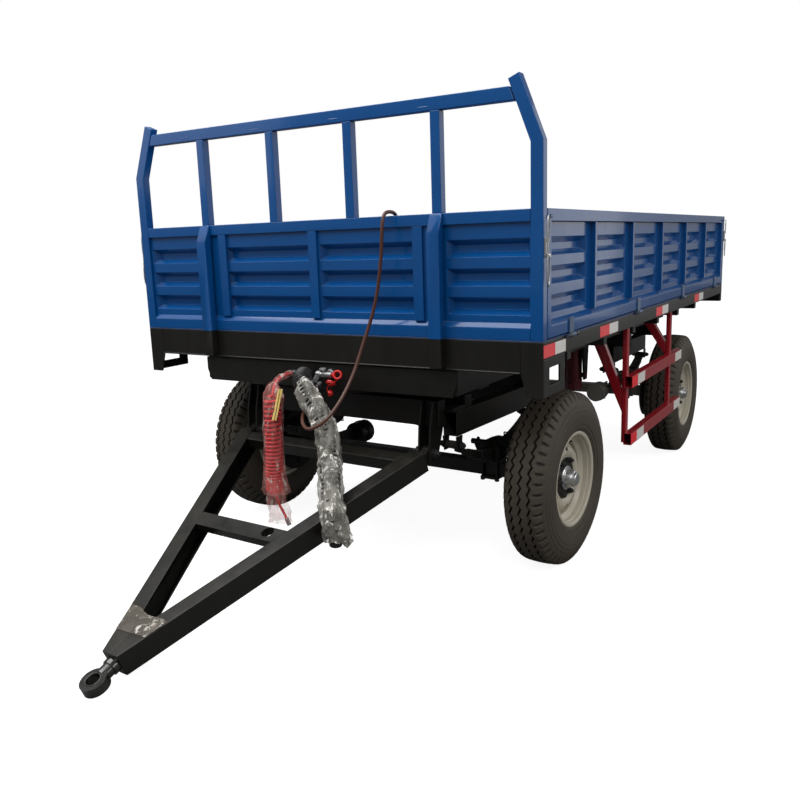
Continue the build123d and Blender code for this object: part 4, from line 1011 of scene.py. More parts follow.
@dataclass
class Hoses:
    """The coiled air hose, the sleeved cable coil and the brake hose to the headboard."""

    air_lead: tuple = ((-0.134, -0.014, 0.925), (-0.130, -0.060, 0.926), (-0.131, -0.108, 0.918),
                       (-0.127, -0.152, 0.899), (-0.112, -0.183, 0.868), (-0.103, -0.199, 0.838))
    air_coil: tuple = ((-0.102, -0.200, 0.860), (-0.104, -0.202, 0.760), (-0.110, -0.198, 0.650),
                       (-0.114, -0.202, 0.540), (-0.122, -0.200, 0.424))
    air_tail: tuple = ((-0.122, -0.200, 0.440), (-0.116, -0.201, 0.405), (-0.098, -0.203, 0.365),
                       (-0.076, -0.200, 0.328), (-0.062, -0.199, 0.298))
    cable: tuple = ((-0.066, -0.014, 0.918), (-0.034, -0.076, 0.916), (0.014, -0.132, 0.902),
                    (0.078, -0.178, 0.864), (0.136, -0.200, 0.812), (0.188, -0.222, 0.749),
                    (0.220, -0.252, 0.675), (0.255, -0.292, 0.604), (0.290, -0.341, 0.541),
                    (0.328, -0.389, 0.494), (0.357, -0.418, 0.450), (0.361, -0.420, 0.408),
                    (0.356, -0.414, 0.368))
    hydraulic: tuple = ((0.401, 0.066, 1.396), (0.397, 0.063, 1.446), (0.397, 0.066, 1.497),
                        (0.396, 0.064, 1.546), (0.396, 0.060, 1.582), (0.396, 0.038, 1.606),
                        (0.396, -0.026, 1.606), (0.396, -0.050, 1.582), (0.393, -0.055, 1.528),
                        (0.386, -0.052, 1.448), (0.375, -0.054, 1.368), (0.360, -0.052, 1.290),
                        (0.341, -0.058, 1.214), (0.318, -0.070, 1.138), (0.299, -0.096, 1.058),
                        (0.285, -0.134, 0.968), (0.272, -0.196, 0.884), (0.256, -0.252, 0.824),
                        (0.228, -0.288, 0.782), (0.186, -0.304, 0.758), (0.146, -0.296, 0.753),
                        (0.106, -0.266, 0.766), (0.068, -0.216, 0.782), (0.038, -0.158, 0.798),
                        (0.018, -0.104, 0.826), (0.008, -0.054, 0.862), (0.005, -0.014, 0.876))
    label_line: tuple = ((-0.0532, -0.2018, 0.8886), (-0.0558, -0.2118, 0.8555), (-0.0581, -0.222, 0.8225),
                         (-0.0609, -0.233, 0.7897), (-0.0629, -0.2437, 0.7600))
    coupling: tuple = (0.062, -0.040, 0.932)
    hose_radius: float = 0.006
    air_turns: int = 27
    air_coil_radius: float = 0.0335
    cable_turns: int = 44
    cable_coil_radius: float = 0.0375
    cable_radius: float = 0.0052
    turn_points: int = 16

    def build(self) -> None:
        """Make every hose with its film, label and plugs."""
        self.air_hose()
        self.cable_hose()
        self.brake_hose()
        self.glands()
        self.coupler()

    def coil(self, line: Line, turns: int, radius: float, crowd: float, lead: float) -> list:
        """Points of a coil round a line.

        Args:
            line: The line through the coil's middle.
            turns: Number of turns.
            radius: Radius of the turns at their middle.
            crowd: Above 1, turns are closer together towards the far end.
            lead: Share of the coil over which it swells from the line to its full radius.

        Returns:
            The points, from end to end of the line.
        """
        count = turns * self.turn_points
        points = []
        for index in range(count + 1):
            share = index / count
            along = 1 - (1 - share) ** crowd
            place, across, up = line.frame(along * line.length)
            swell = radius * min(1.0, share / lead, (1 - share) / lead)
            angle = 2 * math.pi * turns * share
            points.append(place + across * (swell * math.cos(angle)) + up * (swell * math.sin(angle)))
        return points

    def hose(self, name: str, path: list, radius: float, finish: Finish, bodies: tuple, low: float,
             nodes: tuple, slot: str, **facts: object) -> bpy.types.Object:
        """Args:
            name: Name of the piece.
            path: Points along its middle.
            radius: Its radius.
            finish: Its finish.
            bodies: Not used; the two bodies that the hose runs between, the upper first.
            low: Not used; how far the hose drops below its start.
            nodes: CAD nodes that it replaces.
            slot: Not used; the record's material slot.

        Returns:
            The hose.
        """
        piece = dress(tube_mesh(name, path, radius), finish)
        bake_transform(piece)
        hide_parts(*nodes)
        length = Line(path).length
        LOG.info("%s is %.2f m long", name, length)
        return piece

    def follow(self, piece: bpy.types.Object) -> bpy.types.Object:
        """Bake the place of a piece that hangs with a hose into its mesh, where it stays."""
        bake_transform(piece)
        return piece

    def air_hose(self) -> None:
        """The red air hose: straight lead in film, coil, and tail inside the film's flare."""
        lead = Line(route_line([at(*p) for p in self.air_lead]))
        middle = Line(route_line([at(*p) for p in self.air_coil]))
        tail = Line(route_line([at(*p) for p in self.air_tail]))
        reach = 0.85 * lead.length
        path = [lead.walk(reach * index / 14)[0] for index in range(14)]
        path += self.coil(middle, self.air_turns, self.air_coil_radius, 1.35, 0.03)[2:-4]
        path += [tail.walk(tail.length * (index + 4) / 18)[0] for index in range(15)]
        start = path[0]
        drop = start.z - self.air_tail[-1][2]
        whole = Line(lead.points + middle.points[10:])

        def girth(share: float) -> tuple:
            """Half width, half depth and shift of the clear sleeve."""
            snug = 0.014 + 0.029 * min(1.0, max(0.0, share - 0.20) / 0.10)
            flare = max(0.0, share - 0.80) / 0.20
            return snug + 0.028 * flare ** 1.3, snug + 0.010 * flare, 0.0

        film = dress(sleeve("air_hose_film", whole, 0.015, whole.length, girth, 0.008, 1.3), PINK_FILM)
        skirt_line = Line([middle.points[-1], tail.points[-1] + Vector((-0.035, 0, -0.012))])

        def skirt(share: float) -> tuple:
            """Half width, half depth and shift of the film's flared end."""
            return 0.044 + 0.022 * share, 0.036 - 0.006 * share, 0.0

        flare = dress(sleeve("air_hose_film_end", skirt_line, 0.0, skirt_line.length, skirt, 0.007, 4.0,
                             steps=24), PINK_FILM)
        label = self.label()
        tip, along = tail.walk(tail.length)
        cuff = rod("air_hose_end", tip - along * 0.012, tip + along * 0.022, 0.0095, 20, 0.002)
        dress(cuff, ZINC)
        for piece in (film, flare, label, cuff):
            self.follow(piece)
        self.hose("air_hose", path, self.hose_radius, HOSE_RED, ("chassis", "bogie"), drop,
                  ("hose_air",), "red_rubber", far_end="fitting", stiffness="stiff", lay="coiled",
                  with_pieces=[film, flare, label, cuff])

    def label(self) -> bpy.types.Object:
        """The bare label: two rolled strips against the front of the coil, without any print."""
        def girth(share: float) -> tuple:
            """Half width, half depth and shift of a rolled strip."""
            return 0.0052, 0.0032, 0.0

        strips = []
        for shift in (-0.0055, 0.0055):
            route = [at(x + 0.85 * shift, y + 0.52 * shift, z) for x, y, z in self.label_line]
            line = Line(route)
            strips.append(sleeve("strip", line, 0.0, line.length, girth, 0.0012, 2.0 + shift,
                                 steps=16, sides=12))
        return dress(joined("bare_label", strips), LABEL)

    def cable_hose(self) -> None:
        """The black cable coil inside its grey film sleeve."""
        line = Line(route_line([at(*p) for p in self.cable]))
        path = self.coil(line, self.cable_turns, self.cable_coil_radius, 0.93, 0.012)
        start = path[0]
        drop = start.z - self.cable[-1][2]

        def girth(share: float) -> tuple:
            """Half width, half depth and shift of the grey sleeve."""
            mouth = max(0.0, share - 0.86) / 0.14
            return 0.044 + 0.008 * share + 0.006 * mouth, 0.045 + 0.004 * share, 0.004 * mouth

        film = sleeve("cable_film", line, 0.165, line.length + 0.046, girth, 0.026, 0.4, steps=64, sides=26)
        dress(film, GREY_FILM)
        smooth(film, 18.0)
        end = line.points[-1]
        corner = Line([end + Vector((0.0, 0, 0.040)), end + Vector((0.070, 0, -0.020))])

        def torn(share: float) -> tuple:
            """Half width, half depth and shift of the film's loose corner."""
            return 0.046 - 0.020 * share, 0.020 - 0.014 * share, 0.0

        rag = sleeve("cable_film_corner", corner, 0.0, corner.length, torn, 0.010, 3.1, steps=16)
        dress(rag, GREY_FILM)
        tip, along = line.walk(line.length)
        plug = joined("cable_plug", [
            rod("plug", tip - along * 0.004, tip + along * 0.040, 0.026, 32, 0.003),
            rod("collar", tip + along * 0.012, tip + along * 0.020, 0.0275, 32, 0.001)])
        dress(plug, HOSE_BLACK)
        for piece in (film, rag, plug):
            self.follow(piece)
        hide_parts("hose_ends")
        self.hose("cable_hose", path, self.cable_radius, HOSE_BLACK, ("chassis", "bogie"), drop,
                  ("hose_cable",), "black_rubber", far_end="plug", stiffness="medium", lay="coiled",
                  with_pieces=[film, rag, plug])

    def glands(self) -> None:
        """Black gland of the cable coil and the hexagons of the other two hoses."""
        start, then = (at(*p) for p in self.cable[:2])
        along = (then - start).normalized()
        black = [rod("seat", start - along * 0.022, start - along * 0.002, 0.024, 32, 0.003)]
        for index in range(3):
            ring = bead_ring(Vector((0, 0, 0)), 0.0185, 0.0062)
            place = start + along * (0.004 + 0.0165 * index)
            turn = along.to_track_quat("Z", "Y").to_matrix().to_4x4()
            black.append(settle(ring, Matrix.Translation(place) @ turn))
        keep(dress(joined("cable_gland", black), HOSE_BLACK), "chassis")
        parts = []
        for route, size in ((self.air_lead, 0.0125), (tuple(reversed(self.hydraulic)), 0.011)):
            start, then = at(*route[0]), at(*route[1])
            along = (then - start).normalized()
            parts.append(rod("hexagon", start - along * 0.021, start - along * 0.003, size, 6, 0.001))
            parts.append(rod("ferrule", start - along * 0.004, start + along * 0.014, size * 0.78, 20, 0.001))
        keep(dress(joined("hose_glands", parts), ZINC), "chassis")

    def coupler(self) -> None:
        """The brake coupler on the front plate with its red dust cap hanging from a strap."""
        x, y, z = self.coupling
        parts = [rod("pipe", at(x, 0.0098, z), at(x, y, z), 0.011, 24, 0.001),
                 rod("flange", at(x, 0.0098, z), at(x, 0.004, z), 0.019, 6, 0.001),
                 rod("body", at(x - 0.040, y, z), at(x + 0.040, y, z), 0.0105, 24, 0.001),
                 rod("nut", at(x - 0.040, y, z), at(x - 0.020, y, z), 0.0152, 6, 0.0015),
                 rod("middle", at(x - 0.010, y, z), at(x + 0.010, y, z), 0.0145, 6, 0.0015),
                 rod("elbow", at(x - 0.033, y, z), at(x - 0.048, y - 0.008, z - 0.034), 0.0125, 20, 0.002),
                 rod("neck", at(x - 0.006, y, z), at(x - 0.006, y, z + 0.020), 0.009, 20, 0.001),
                 rod("cap", at(x - 0.006, y, z + 0.019), at(x - 0.006, y, z + 0.027), 0.0175, 24, 0.002),
                 rod("rim", at(x - 0.006, y, z + 0.0275), at(x - 0.006, y, z + 0.0300), 0.0145, 24, 0.001)]
        for index in range(5):
            start = x + 0.014 + 0.0055 * index
            parts.append(rod("thread", at(start, y, z), at(start + 0.0035, y, z), 0.0132, 24, 0.0012))
        keep(dress(joined("brake_coupler", parts), ZINC), "chassis", ("hose_fittings",))
        ring = bead_ring(Vector((0, 0, 0)), 0.0165, 0.0052)
        lean = Matrix.Rotation(math.radians(68), 4, "X") @ Matrix.Rotation(math.radians(24), 4, "Y")
        settle(ring, Matrix.Translation(at(x + 0.072, y - 0.004, z + 0.003)) @ lean)
        cap_place = at(x + 0.040, y - 0.010, z - 0.034)
        out = Vector((0, -0.004, -0.006))
        cap = [ring, rod("stem", at(x + 0.041, y, z + 0.001), at(x + 0.060, y, z + 0.003), 0.008, 16, 0.002),
               rod("cap", cap_place - out, cap_place + out, 0.0205, 28, 0.003),
               rod("lip", cap_place - out / 4, cap_place + out / 4, 0.0235, 28, 0.001),
               rod("button", cap_place + out, cap_place + Vector((0, -0.0065, -0.010)), 0.012, 24, 0.002)]
        straps = [[at(x + 0.074, y - 0.006, z - 0.014), at(x + 0.068, y - 0.009, z - 0.026), cap_place],
                  [cap_place, at(x + 0.020, y - 0.010, z - 0.052), at(x + 0.016, y - 0.008, z - 0.072),
                   at(x + 0.024, y - 0.006, z - 0.080)]]
        cap += [tube_mesh("strap", route_line(points), 0.0024, 8) for points in straps]
        ball = lathe("ball", [(0.0005, -0.0150), (0.0080, -0.0130), (0.0135, -0.0070), (0.0155, 0.0),
                              (0.0135, 0.0070), (0.0080, 0.0130), (0.0005, 0.0150)], 28)
        cap.append(settle(ball, Matrix.Translation(at(x + 0.027, y - 0.004, z - 0.080))))
        keep(dress(joined("dust_cap", cap), CAP_RED), "chassis")

    def brake_hose(self) -> None:
        """The brown hose that hangs from the headboard and runs round the cable coil to its port."""
        points = [at(*p) for p in self.hydraulic]
        line = Line(route_line(points))
        path = [line.walk(line.length * index / 160)[0] for index in range(161)]
        path.reverse()
        top = points[0]
        coupling = joined("brake_hose_coupling", [
            rod("body", top, top + Vector((0, 0, -0.056)), 0.0135, 6, 0.001),
            rod("nut", top + Vector((0, 0, 0.001)), top + Vector((0, 0, -0.020)), 0.0155, 24, 0.001)])
        keep(dress(coupling, ZINC), "bed", ("hydraulic_coupling",))
        piece = dress(tube_mesh("brake_hose", path, 0.0075), HOSE_BROWN)
        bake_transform(piece)
        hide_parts("hose_hydraulic")


# ------------------------------------------------------------------ wheels
@dataclass
class Tyre:
    """A road tyre with zigzag grooves, notched shoulders and ringed sidewalls."""

    periods: int = 54
    steps: int = 8
    crown: float = 0.400
    grooves: tuple = (-0.042, 0.0, 0.042)
    groove_half: float = 0.0054
    groove_depth: float = 0.0145
    swing: float = 0.0066
    notch_depth: float = 0.010
    side: tuple = ((0.0830, 0.2065), (0.0885, 0.2110), (0.0905, 0.2185), (0.0935, 0.2215), (0.0965, 0.2320),
                   (0.0990, 0.2335), (0.1012, 0.2500), (0.1034, 0.2515), (0.1052, 0.2640), (0.1064, 0.2800),
                   (0.1073, 0.2985), (0.1060, 0.3000), (0.1056, 0.3180), (0.1034, 0.3200), (0.1000, 0.3370),
                   (0.0975, 0.3385), (0.0935, 0.3530))

    def section(self) -> list:
        """Rows from one bead over the tread to the other, as (along, radius, swing, notch)."""
        flank = [(x, r, 0.0, 0.0) for x, r in self.side]
        shoulder = [(0.0885, 0.3620, 0.0, 0.25), (0.0850, 0.3720, 0.0, 1.0), (0.0760, 0.3875, 0.0, 1.0),
                    (0.0700, 0.3930, 0.0, 1.0), (0.0630, 0.3955, 0.0, 0.55), (0.0600, 0.3960, 0.3, 0.0)]
        tread = []
        for middle in self.grooves:
            for offset, depth in ((-1.0, 0.0), (-0.6, 1.0), (0.6, 1.0), (1.0, 0.0)):
                x = middle + offset * self.groove_half
                tread.append((x, self.crown - 1.1 * x * x - depth * self.groove_depth, 1.0, 0.0))
        half = flank + shoulder
        liner = [(0.070, 0.214, 0.0, 0.0), (-0.070, 0.214, 0.0, 0.0)]
        return [(-x, r, s, n) for x, r, s, n in half] + tread + list(reversed(half)) + liner

    def build(self, name: str) -> bpy.types.Object:
        """The tyre about the origin, its axis along X.

        Args:
            name: Name of the piece.
        """
        rows = self.section()
        columns = self.periods * self.steps
        count = len(rows)
        bpy.ops.object.select_all(action="DESELECT")
        bpy.ops.mesh.primitive_grid_add(x_subdivisions=columns, y_subdivisions=count, size=2)
        piece = bpy.context.active_object
        piece.name = name
        # Painted shade: this attribute marks where the rubber is darkened, fully in the tread grooves and
        # partly in the shoulder notches.
        groove = piece.data.attributes.new("groove", "FLOAT", "POINT")
        for vertex in piece.data.vertices:
            column = round((vertex.co.x + 1) / 2 * columns)
            row = round((vertex.co.y + 1) / 2 * count) % count
            along, radius, swing, notch = rows[row]
            phase = column % self.steps
            leg = phase / 5 if phase <= 5 else (self.steps - phase) / 3
            along += swing * self.swing * (2 * leg - 1)
            cut = self.crown - 1.1 * along * along - radius > 0.5 * self.groove_depth and swing == 1.0
            if phase in (0, 1):
                radius -= notch * self.notch_depth
            groove.data[vertex.index].value = 1.0 if cut else 0.9 * notch * (phase in (0, 1))
            angle = 2 * math.pi * (column % columns) / columns
            vertex.co = (along, radius * math.sin(angle), radius * math.cos(angle))
        outwards(piece)
        return dress(smooth(piece, 32.0), RUBBER)


@dataclass
class Wheel:
    """One wheel: cream rim, black centre, nuts, hub cap, drum and valve."""

    rim_steps: int = 96
    stud_circle: float = 0.084
    stud_count: int = 6
    hole_circle: float = 0.1385
    hole_radius: float = 0.0145
    cap_circle: float = 0.0485
    rim: tuple = ((-0.0925, 0.2190), (-0.0885, 0.2200), (-0.0850, 0.2150), (-0.0832, 0.2062),
                  (-0.0660, 0.2040), (-0.0520, 0.1790), (0.0300, 0.1790), (0.0460, 0.2040),
                  (0.0832, 0.2062), (0.0850, 0.2150), (0.0885, 0.2200), (0.0925, 0.2190),
                  (0.0938, 0.2140), (0.0915, 0.2060), (0.0880, 0.2020), (0.0740, 0.2005),
                  (0.0715, 0.1950), (0.0520, 0.1925), (0.0360, 0.1722), (-0.0560, 0.1722),
                  (-0.0700, 0.1985), (-0.0900, 0.2020), (-0.0935, 0.2120))
    disc: tuple = ((0.0140, 0.1735), (0.0200, 0.1690), (0.0330, 0.1540), (0.0470, 0.1390), (0.0520, 0.1280),
                   (0.0508, 0.1160), (0.0470, 0.1060), (0.0410, 0.0985), (0.0410, 0.0955), (0.0335, 0.0955),
                   (0.0345, 0.1010), (0.0400, 0.1090), (0.0440, 0.1270), (0.0400, 0.1350), (0.0260, 0.1490),
                   (0.0120, 0.1650), (0.0060, 0.1735))
    centre: tuple = ((-0.0300, 0.0500), (-0.0300, 0.0700), (0.0200, 0.0700), (0.0200, 0.1020),
                     (0.0325, 0.1020), (0.0335, 0.0950), (0.0412, 0.0948), (0.0432, 0.0920),
                     (0.0432, 0.0500))
    cap: tuple = ((0.0420, 0.0005), (0.0420, 0.0560), (0.0500, 0.0560), (0.0535, 0.0525), (0.0545, 0.0435),
                  (0.0560, 0.0420), (0.0800, 0.0405), (0.0870, 0.0375), (0.0900, 0.0300), (0.0985, 0.0285),
                  (0.1010, 0.0255), (0.1015, 0.0005))
    drum: tuple = ((-0.1590, 0.0700), (-0.1590, 0.1520), (-0.1560, 0.1570), (-0.1480, 0.1570),
                   (-0.1450, 0.1525), (-0.0680, 0.1525), (-0.0600, 0.1480), (-0.0310, 0.1040),
                   (-0.0310, 0.0700))

    def build(self) -> dict:
        """The wheel's pieces about the origin, by name, with the outside towards +X."""
        holes = [rod("hole", self.polar(self.hole_circle, index, 0.0, 30),
                     self.polar(self.hole_circle, index, 0.09, 30), self.hole_radius, 24)
                 for index in range(self.stud_count)]
        plate = cut_away(lathe("disc", list(self.disc), self.rim_steps), joined("holes", holes))
        valve = rod("valve", Vector((0.030, 0.0, 0.166)), Vector((0.074, 0.0, 0.176)), 0.0042, 12, 0.001)
        rim = joined("rim", [smooth(plate), lathe("barrel", list(self.rim), self.rim_steps)])
        nuts = []
        for index in range(self.stud_count):
            foot, top = (self.polar(self.stud_circle, index, x, 0) for x in (0.0425, 0.0465))
            nuts.append(rod("washer", foot, top, 0.0145, 20, 0.0008))
            nuts.append(rod("nut", top, self.polar(self.stud_circle, index, 0.0595, 0), 0.0128, 6, 0.0012))
            nuts.append(rod("stud", top, self.polar(self.stud_circle, index, 0.0660, 0), 0.0065, 14, 0.0010))
        hub = joined("hub", [lathe("centre", list(self.centre), self.rim_steps),
                             lathe("drum", list(self.drum), self.rim_steps)])
        bolts = [rod("bolt", self.polar(self.cap_circle, index, 0.0495, 0),
                     self.polar(self.cap_circle, index, 0.0545, 0), 0.0048, 6) for index in range(5)]
        cap = joined("cap", [lathe("dome", list(self.cap), 64), *bolts])
        return {"rim": dress(rim, CREAM), "hub": dress(hub, CHASSIS_BLACK), "cap": dress(cap, ZINC),
                "nuts": dress(joined("nuts", nuts + [valve]), DARK_STEEL)}

    def polar(self, radius: float, index: int, along: float, start: float) -> Vector:
        """A point on a circle of evenly spaced holes or bolts."""
        turns = {self.hole_circle: 6, self.stud_circle: self.stud_count}.get(radius, 5)
        angle = math.radians(start + 360 / turns * index)
        return Vector((along, radius * math.cos(angle), radius * math.sin(angle)))


@dataclass
class Wheels:
    """All four wheels in their places."""

    slots: tuple = (("rim", "rim_paint"), ("hub", "black_steel"), ("cap", "zinc"), ("nuts", "black_steel"))

    def build(self) -> None:
        """Make one wheel and one tyre, and put copies in all four places."""
        tyre = Tyre().build("tyre")
        parts = Wheel().build()
        for end in End:
            for side in Side:
                self.place(tyre, parts, end, side)
        for piece in [tyre, *parts.values()]:
            bpy.data.objects.remove(piece)

    def place(self, tyre: bpy.types.Object, parts: dict, end: End, side: Side) -> None:
        """Put copies of the pieces at one wheel's place.

        Args:
            tyre: The tyre about the origin.
            parts: The wheel's pieces about the origin.
            end: Front or rear axle.
            side: Left or right.
        """
        key = f"{end.value}_{side.name.lower()}"
        joint = JOINTS[key + "_wheel_spin"]
        axis = Vector(joint["axis"])
        turn = Vector((1, 0, 0)).rotation_difference(axis).to_matrix().to_4x4()
        low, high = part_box("tyre_" + key)
        matrix = Matrix.Translation((low + high) / 2) @ turn @ Matrix.Scale(side.value, 4, (1, 0, 0))
        keep(copied(tyre, "tyre_tread_" + key, matrix), key + "_wheel", ("tyre_" + key,))
        for name, slot in self.slots:
            stands_for = ("wheel_" + key,) if name == "rim" else ()
            keep(copied(parts[name], f"wheel_{name}_{key}", matrix), key + "_wheel", stands_for)


# ------------------------------------------------------------------ steelwork
def bolt(start: Vector, along: Vector, size: float = 0.008, thread: float = 0.0) -> bpy.types.Object:
    """A hexagon head on its washer, with a stub of thread if it is the nut's end.

    Args:
        start: Where it sits on the surface.
        along: Direction out of the surface.
        size: Radius of the head.
        thread: Length of the stub beyond the head.

    Returns:
        The bolt.
    """
    along = along.normalized()
    parts = [rod("washer", start - along * 0.0005, start + along * 0.18 * size, size * 1.25, 16),
             rod("head", start + along * 0.1 * size, start + along * size, size, 6, size * 0.08)]
    if thread:
        parts.append(rod("thread", start + along * size, start + along * (size + thread),
                         size * 0.52, 12, 0.0008))
    return joined("bolt", parts)


def strap(name: str, outline: list, normal: Vector, thick: float,
          rounding: float = 0.0008) -> bpy.types.Object:
    """A flat plate from its outline.

    Args:
        name: Name of the object.
        outline: Corner points in order, all in one plane.
        normal: Direction in which it has its thickness.
        thick: Its thickness.
        rounding: Width of the rounded edges.

    Returns:
        The settled plate.
    """
    bpy.ops.object.select_all(action="DESELECT")
    bpy.ops.mesh.primitive_circle_add(vertices=len(outline), radius=1.0, fill_type="NGON")
    piece = bpy.context.active_object
    piece.name = name
    for vertex, place in zip(piece.data.vertices, outline):
        vertex.co = place
    bpy.ops.object.mode_set(mode="EDIT")
    bpy.ops.mesh.select_all(action="SELECT")
    bpy.ops.mesh.extrude_region_move(TRANSFORM_OT_translate={"value": normal.normalized() * thick})
    bpy.ops.object.mode_set(mode="OBJECT")
    outwards(piece)
    return round_edges(piece, rounding) if rounding else piece


def bead(name: str, corners: list, radius: float) -> bpy.types.Object:
    """A wavy weld bead along straight runs.

    Args:
        name: Name of the object.
        corners: The points that it joins.
        radius: Its radius.

    Returns:
        The bead.
    """
    line = Line(corners)
    count = max(3, int(line.length / (radius * 2.2)))
    curve = bpy.data.curves.new(name, "CURVE")
    curve.dimensions = "3D"
    curve.bevel_depth = radius
    curve.bevel_resolution = 1
    curve.use_fill_caps = True
    spline = curve.splines.new("POLY")
    spline.points.add(count)
    for index, point in enumerate(spline.points):
        point.co = (*line.walk(line.length * index / count)[0], 1.0)
        point.radius = 0.86 if index % 2 else 1.12
    piece = bpy.data.objects.new(name, curve)
    bpy.context.scene.collection.objects.link(piece)
    pick(piece)
    bpy.ops.object.convert(target="MESH")
    return smooth(settle(piece), 60.0)


@dataclass
class Bed:
    """The tipping bed: floor, frame, headboard, posts, gates, latches and reflectors."""

    rail_low: float = 1.040
    rail_high: float = 1.088
    tape: tuple = ((0.006, 0.126, 0.242), (0.684, 0.822, 0.956), (1.672, 1.806, 1.940),
                   (2.656, 2.790, 2.924))
    rear_tape: tuple = (-0.80, -0.30, 0.20, 0.70)
    post_middle: float = 0.020
    latch_low: float = 1.416
    latch_high: float = 1.486
    hook_top: float = 1.568

    def build(self) -> None:
        """Make every piece of the bed."""
        two_tone(softened("headboard_frame", 0.003, BLUE), FLOOR_TOP, BLACK)
        for node, width in (("headboard_panel", 0.0018), ("rear_posts", 0.003)):
            softened(node, width, BLUE)
        for node in ("side_left", "side_right", "tailgate"):
            softened(node, 0.0022, BLUE)
        softened("bed_floor", 0.001, FLOOR_PAINT)
        softened("bed_frame", 0.0025, BLACK)
        for node in ("side_left_fittings", "side_right_fittings", "tailgate_fittings"):
            softened(node, 0.0015, PAINTED_ZINC)
        self.latches()
        self.reflectors()
        self.welds()

    def latches(self) -> None:
        """An over-centre latch on each outer face of the four posts."""
        pieces = []
        for side in Side:
            for y in (self.post_middle, BED_LENGTH - self.post_middle):
                pieces += self.latch(Matrix.Translation(at(side.value * HALF_WIDTH, y, 0))
                                     @ Matrix.Scale(side.value, 4, (1, 0, 0)))
            tail = Matrix.Rotation(math.pi / 2, 4, "Z")
            corner = Matrix.Translation(at(side.value * (HALF_WIDTH - 0.030), BED_LENGTH, 0))
            pieces += self.latch(corner @ tail)
        keep(dress(joined("gate_latch_set", pieces), ZINC), "bed", ("gate_latches",))

    def latch(self, matrix: Matrix) -> list:
        """One latch on a face whose outside is +X at x = 0, moved to its place.

        Args:
            matrix: Move from that face to its place.

        Returns:
            The latch's parts.
        """
        low, high, top = self.latch_low, self.latch_high, self.hook_top
        body = slab("body", Vector((0.0002, -0.014, low)), Vector((0.009, 0.014, high)), 0.0015)
        slot = slab("slot", Vector((0.0035, -0.0048, low + 0.014)), Vector((0.02, 0.0048, high - 0.014)), 0)
        parts = [cut_away(body, slot)]
        for sign in (-1, 1):
            parts.append(tube_mesh("wire", [Vector((0.012, sign * 0.0085, high - 0.016)),
                                            Vector((0.0125, sign * 0.0085, top - 0.030)),
                                            Vector((0.0125, sign * 0.0060, top - 0.012)),
                                            Vector((0.0122, sign * 0.0020, top - 0.0045)),
                                            Vector((0.0120, 0.0, top - 0.004))], 0.0028, 8))
            parts.append(rod("foot", Vector((0.009, sign * 0.0085, high - 0.018)),
                             Vector((0.009, sign * 0.0085, high - 0.004)), 0.0045, 12, 0.0008))
        parts.append(rod("pivot", Vector((0.001, 0, low + 0.004)), Vector((0.020, 0, low + 0.004)),
                         0.0075, 16, 0.001))
        outline = [(0.0060, 0.010), (0.0110, -0.020), (0.0118, -0.060), (0.0085, -0.090), (0.0, -0.108),
                   (-0.0085, -0.090), (-0.0118, -0.060), (-0.0110, -0.020), (-0.0060, 0.010)]
        loop = [Vector((0.0125, across, low + drop)) for across, drop in outline]
        parts.append(tube_mesh("lever", loop, 0.0030, 8))
        parts.append(rod("rivet", Vector((0.006, 0, high - 0.008)), Vector((0.0105, 0, high - 0.008)),
                         0.0035, 12))
        for part in parts:
            settle(part, matrix)
        return parts

    def reflectors(self) -> None:
        """Red and white tape along both side rails of the bed and across its rear beam."""
        red, white = [], []
        for side in Side:
            inner, outer = sorted((side.value * (HALF_WIDTH - 0.0002), side.value * (HALF_WIDTH + 0.0007)))
            for start, middle, end in self.tape:
                for store, y0, y1 in ((red, start, middle - 0.001), (white, middle, end)):
                    store.append(slab("tape", at(inner, y0, self.rail_low), at(outer, y1, self.rail_high), 0))
        near, far = BED_LENGTH - 0.0002, BED_LENGTH + 0.0007
        for x in self.rear_tape:
            red.append(slab("tape", at(x, near, self.rail_low), at(x + 0.05, far, self.rail_high), 0))
            white.append(slab("tape", at(x + 0.051, near, self.rail_low),
                              at(x + 0.101, far, self.rail_high), 0))
        keep(dress(joined("bed_tape_red", red), TAPE_RED), "bed")
        keep(dress(joined("bed_tape_white", white), TAPE_WHITE), "bed")

    def welds(self) -> None:
        """Weld beads where the headboard's ladder and uprights meet its rails."""
        beads = []
        for x in (-0.612, -0.204, 0.204, 0.612):
            wide = 0.021
            for z, y in ((1.5902, 0.004), (1.9715, -0.0875)):
                beads.append(bead("weld", [at(x - wide, y, z), at(x + wide, y, z)], 0.0022))
        keep(dress(joined("headboard_welds", beads), BLUE), "bed")


@dataclass
class Guards:
    """The red side guards with their reflective tape."""

    rails: tuple = ((0.436, 0.496), (0.730, 0.790))
    tapes: tuple = ((0, 1.1632, 1.266), (1, 1.268, 1.402), (1, 2.085, 2.2390))

    def build(self) -> None:
        """Make the guards and their tape."""
        softened("side_guards", 0.004, RED)
        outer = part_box("side_guards")[1].x
        stores = ([], [])
        for side in Side:
            near, far = sorted((side.value * (outer - 0.0002), side.value * (outer + 0.0006)))
            for low, high in self.rails:
                for kind, y0, y1 in self.tapes:
                    stores[kind].append(slab("tape", at(near, y0, low + 0.004), at(far, y1, high - 0.004), 0))
        keep(dress(joined("guard_tape_red", stores[0]), TAPE_RED), "bed")
        keep(dress(joined("guard_tape_white", stores[1]), TAPE_WHITE), "bed")


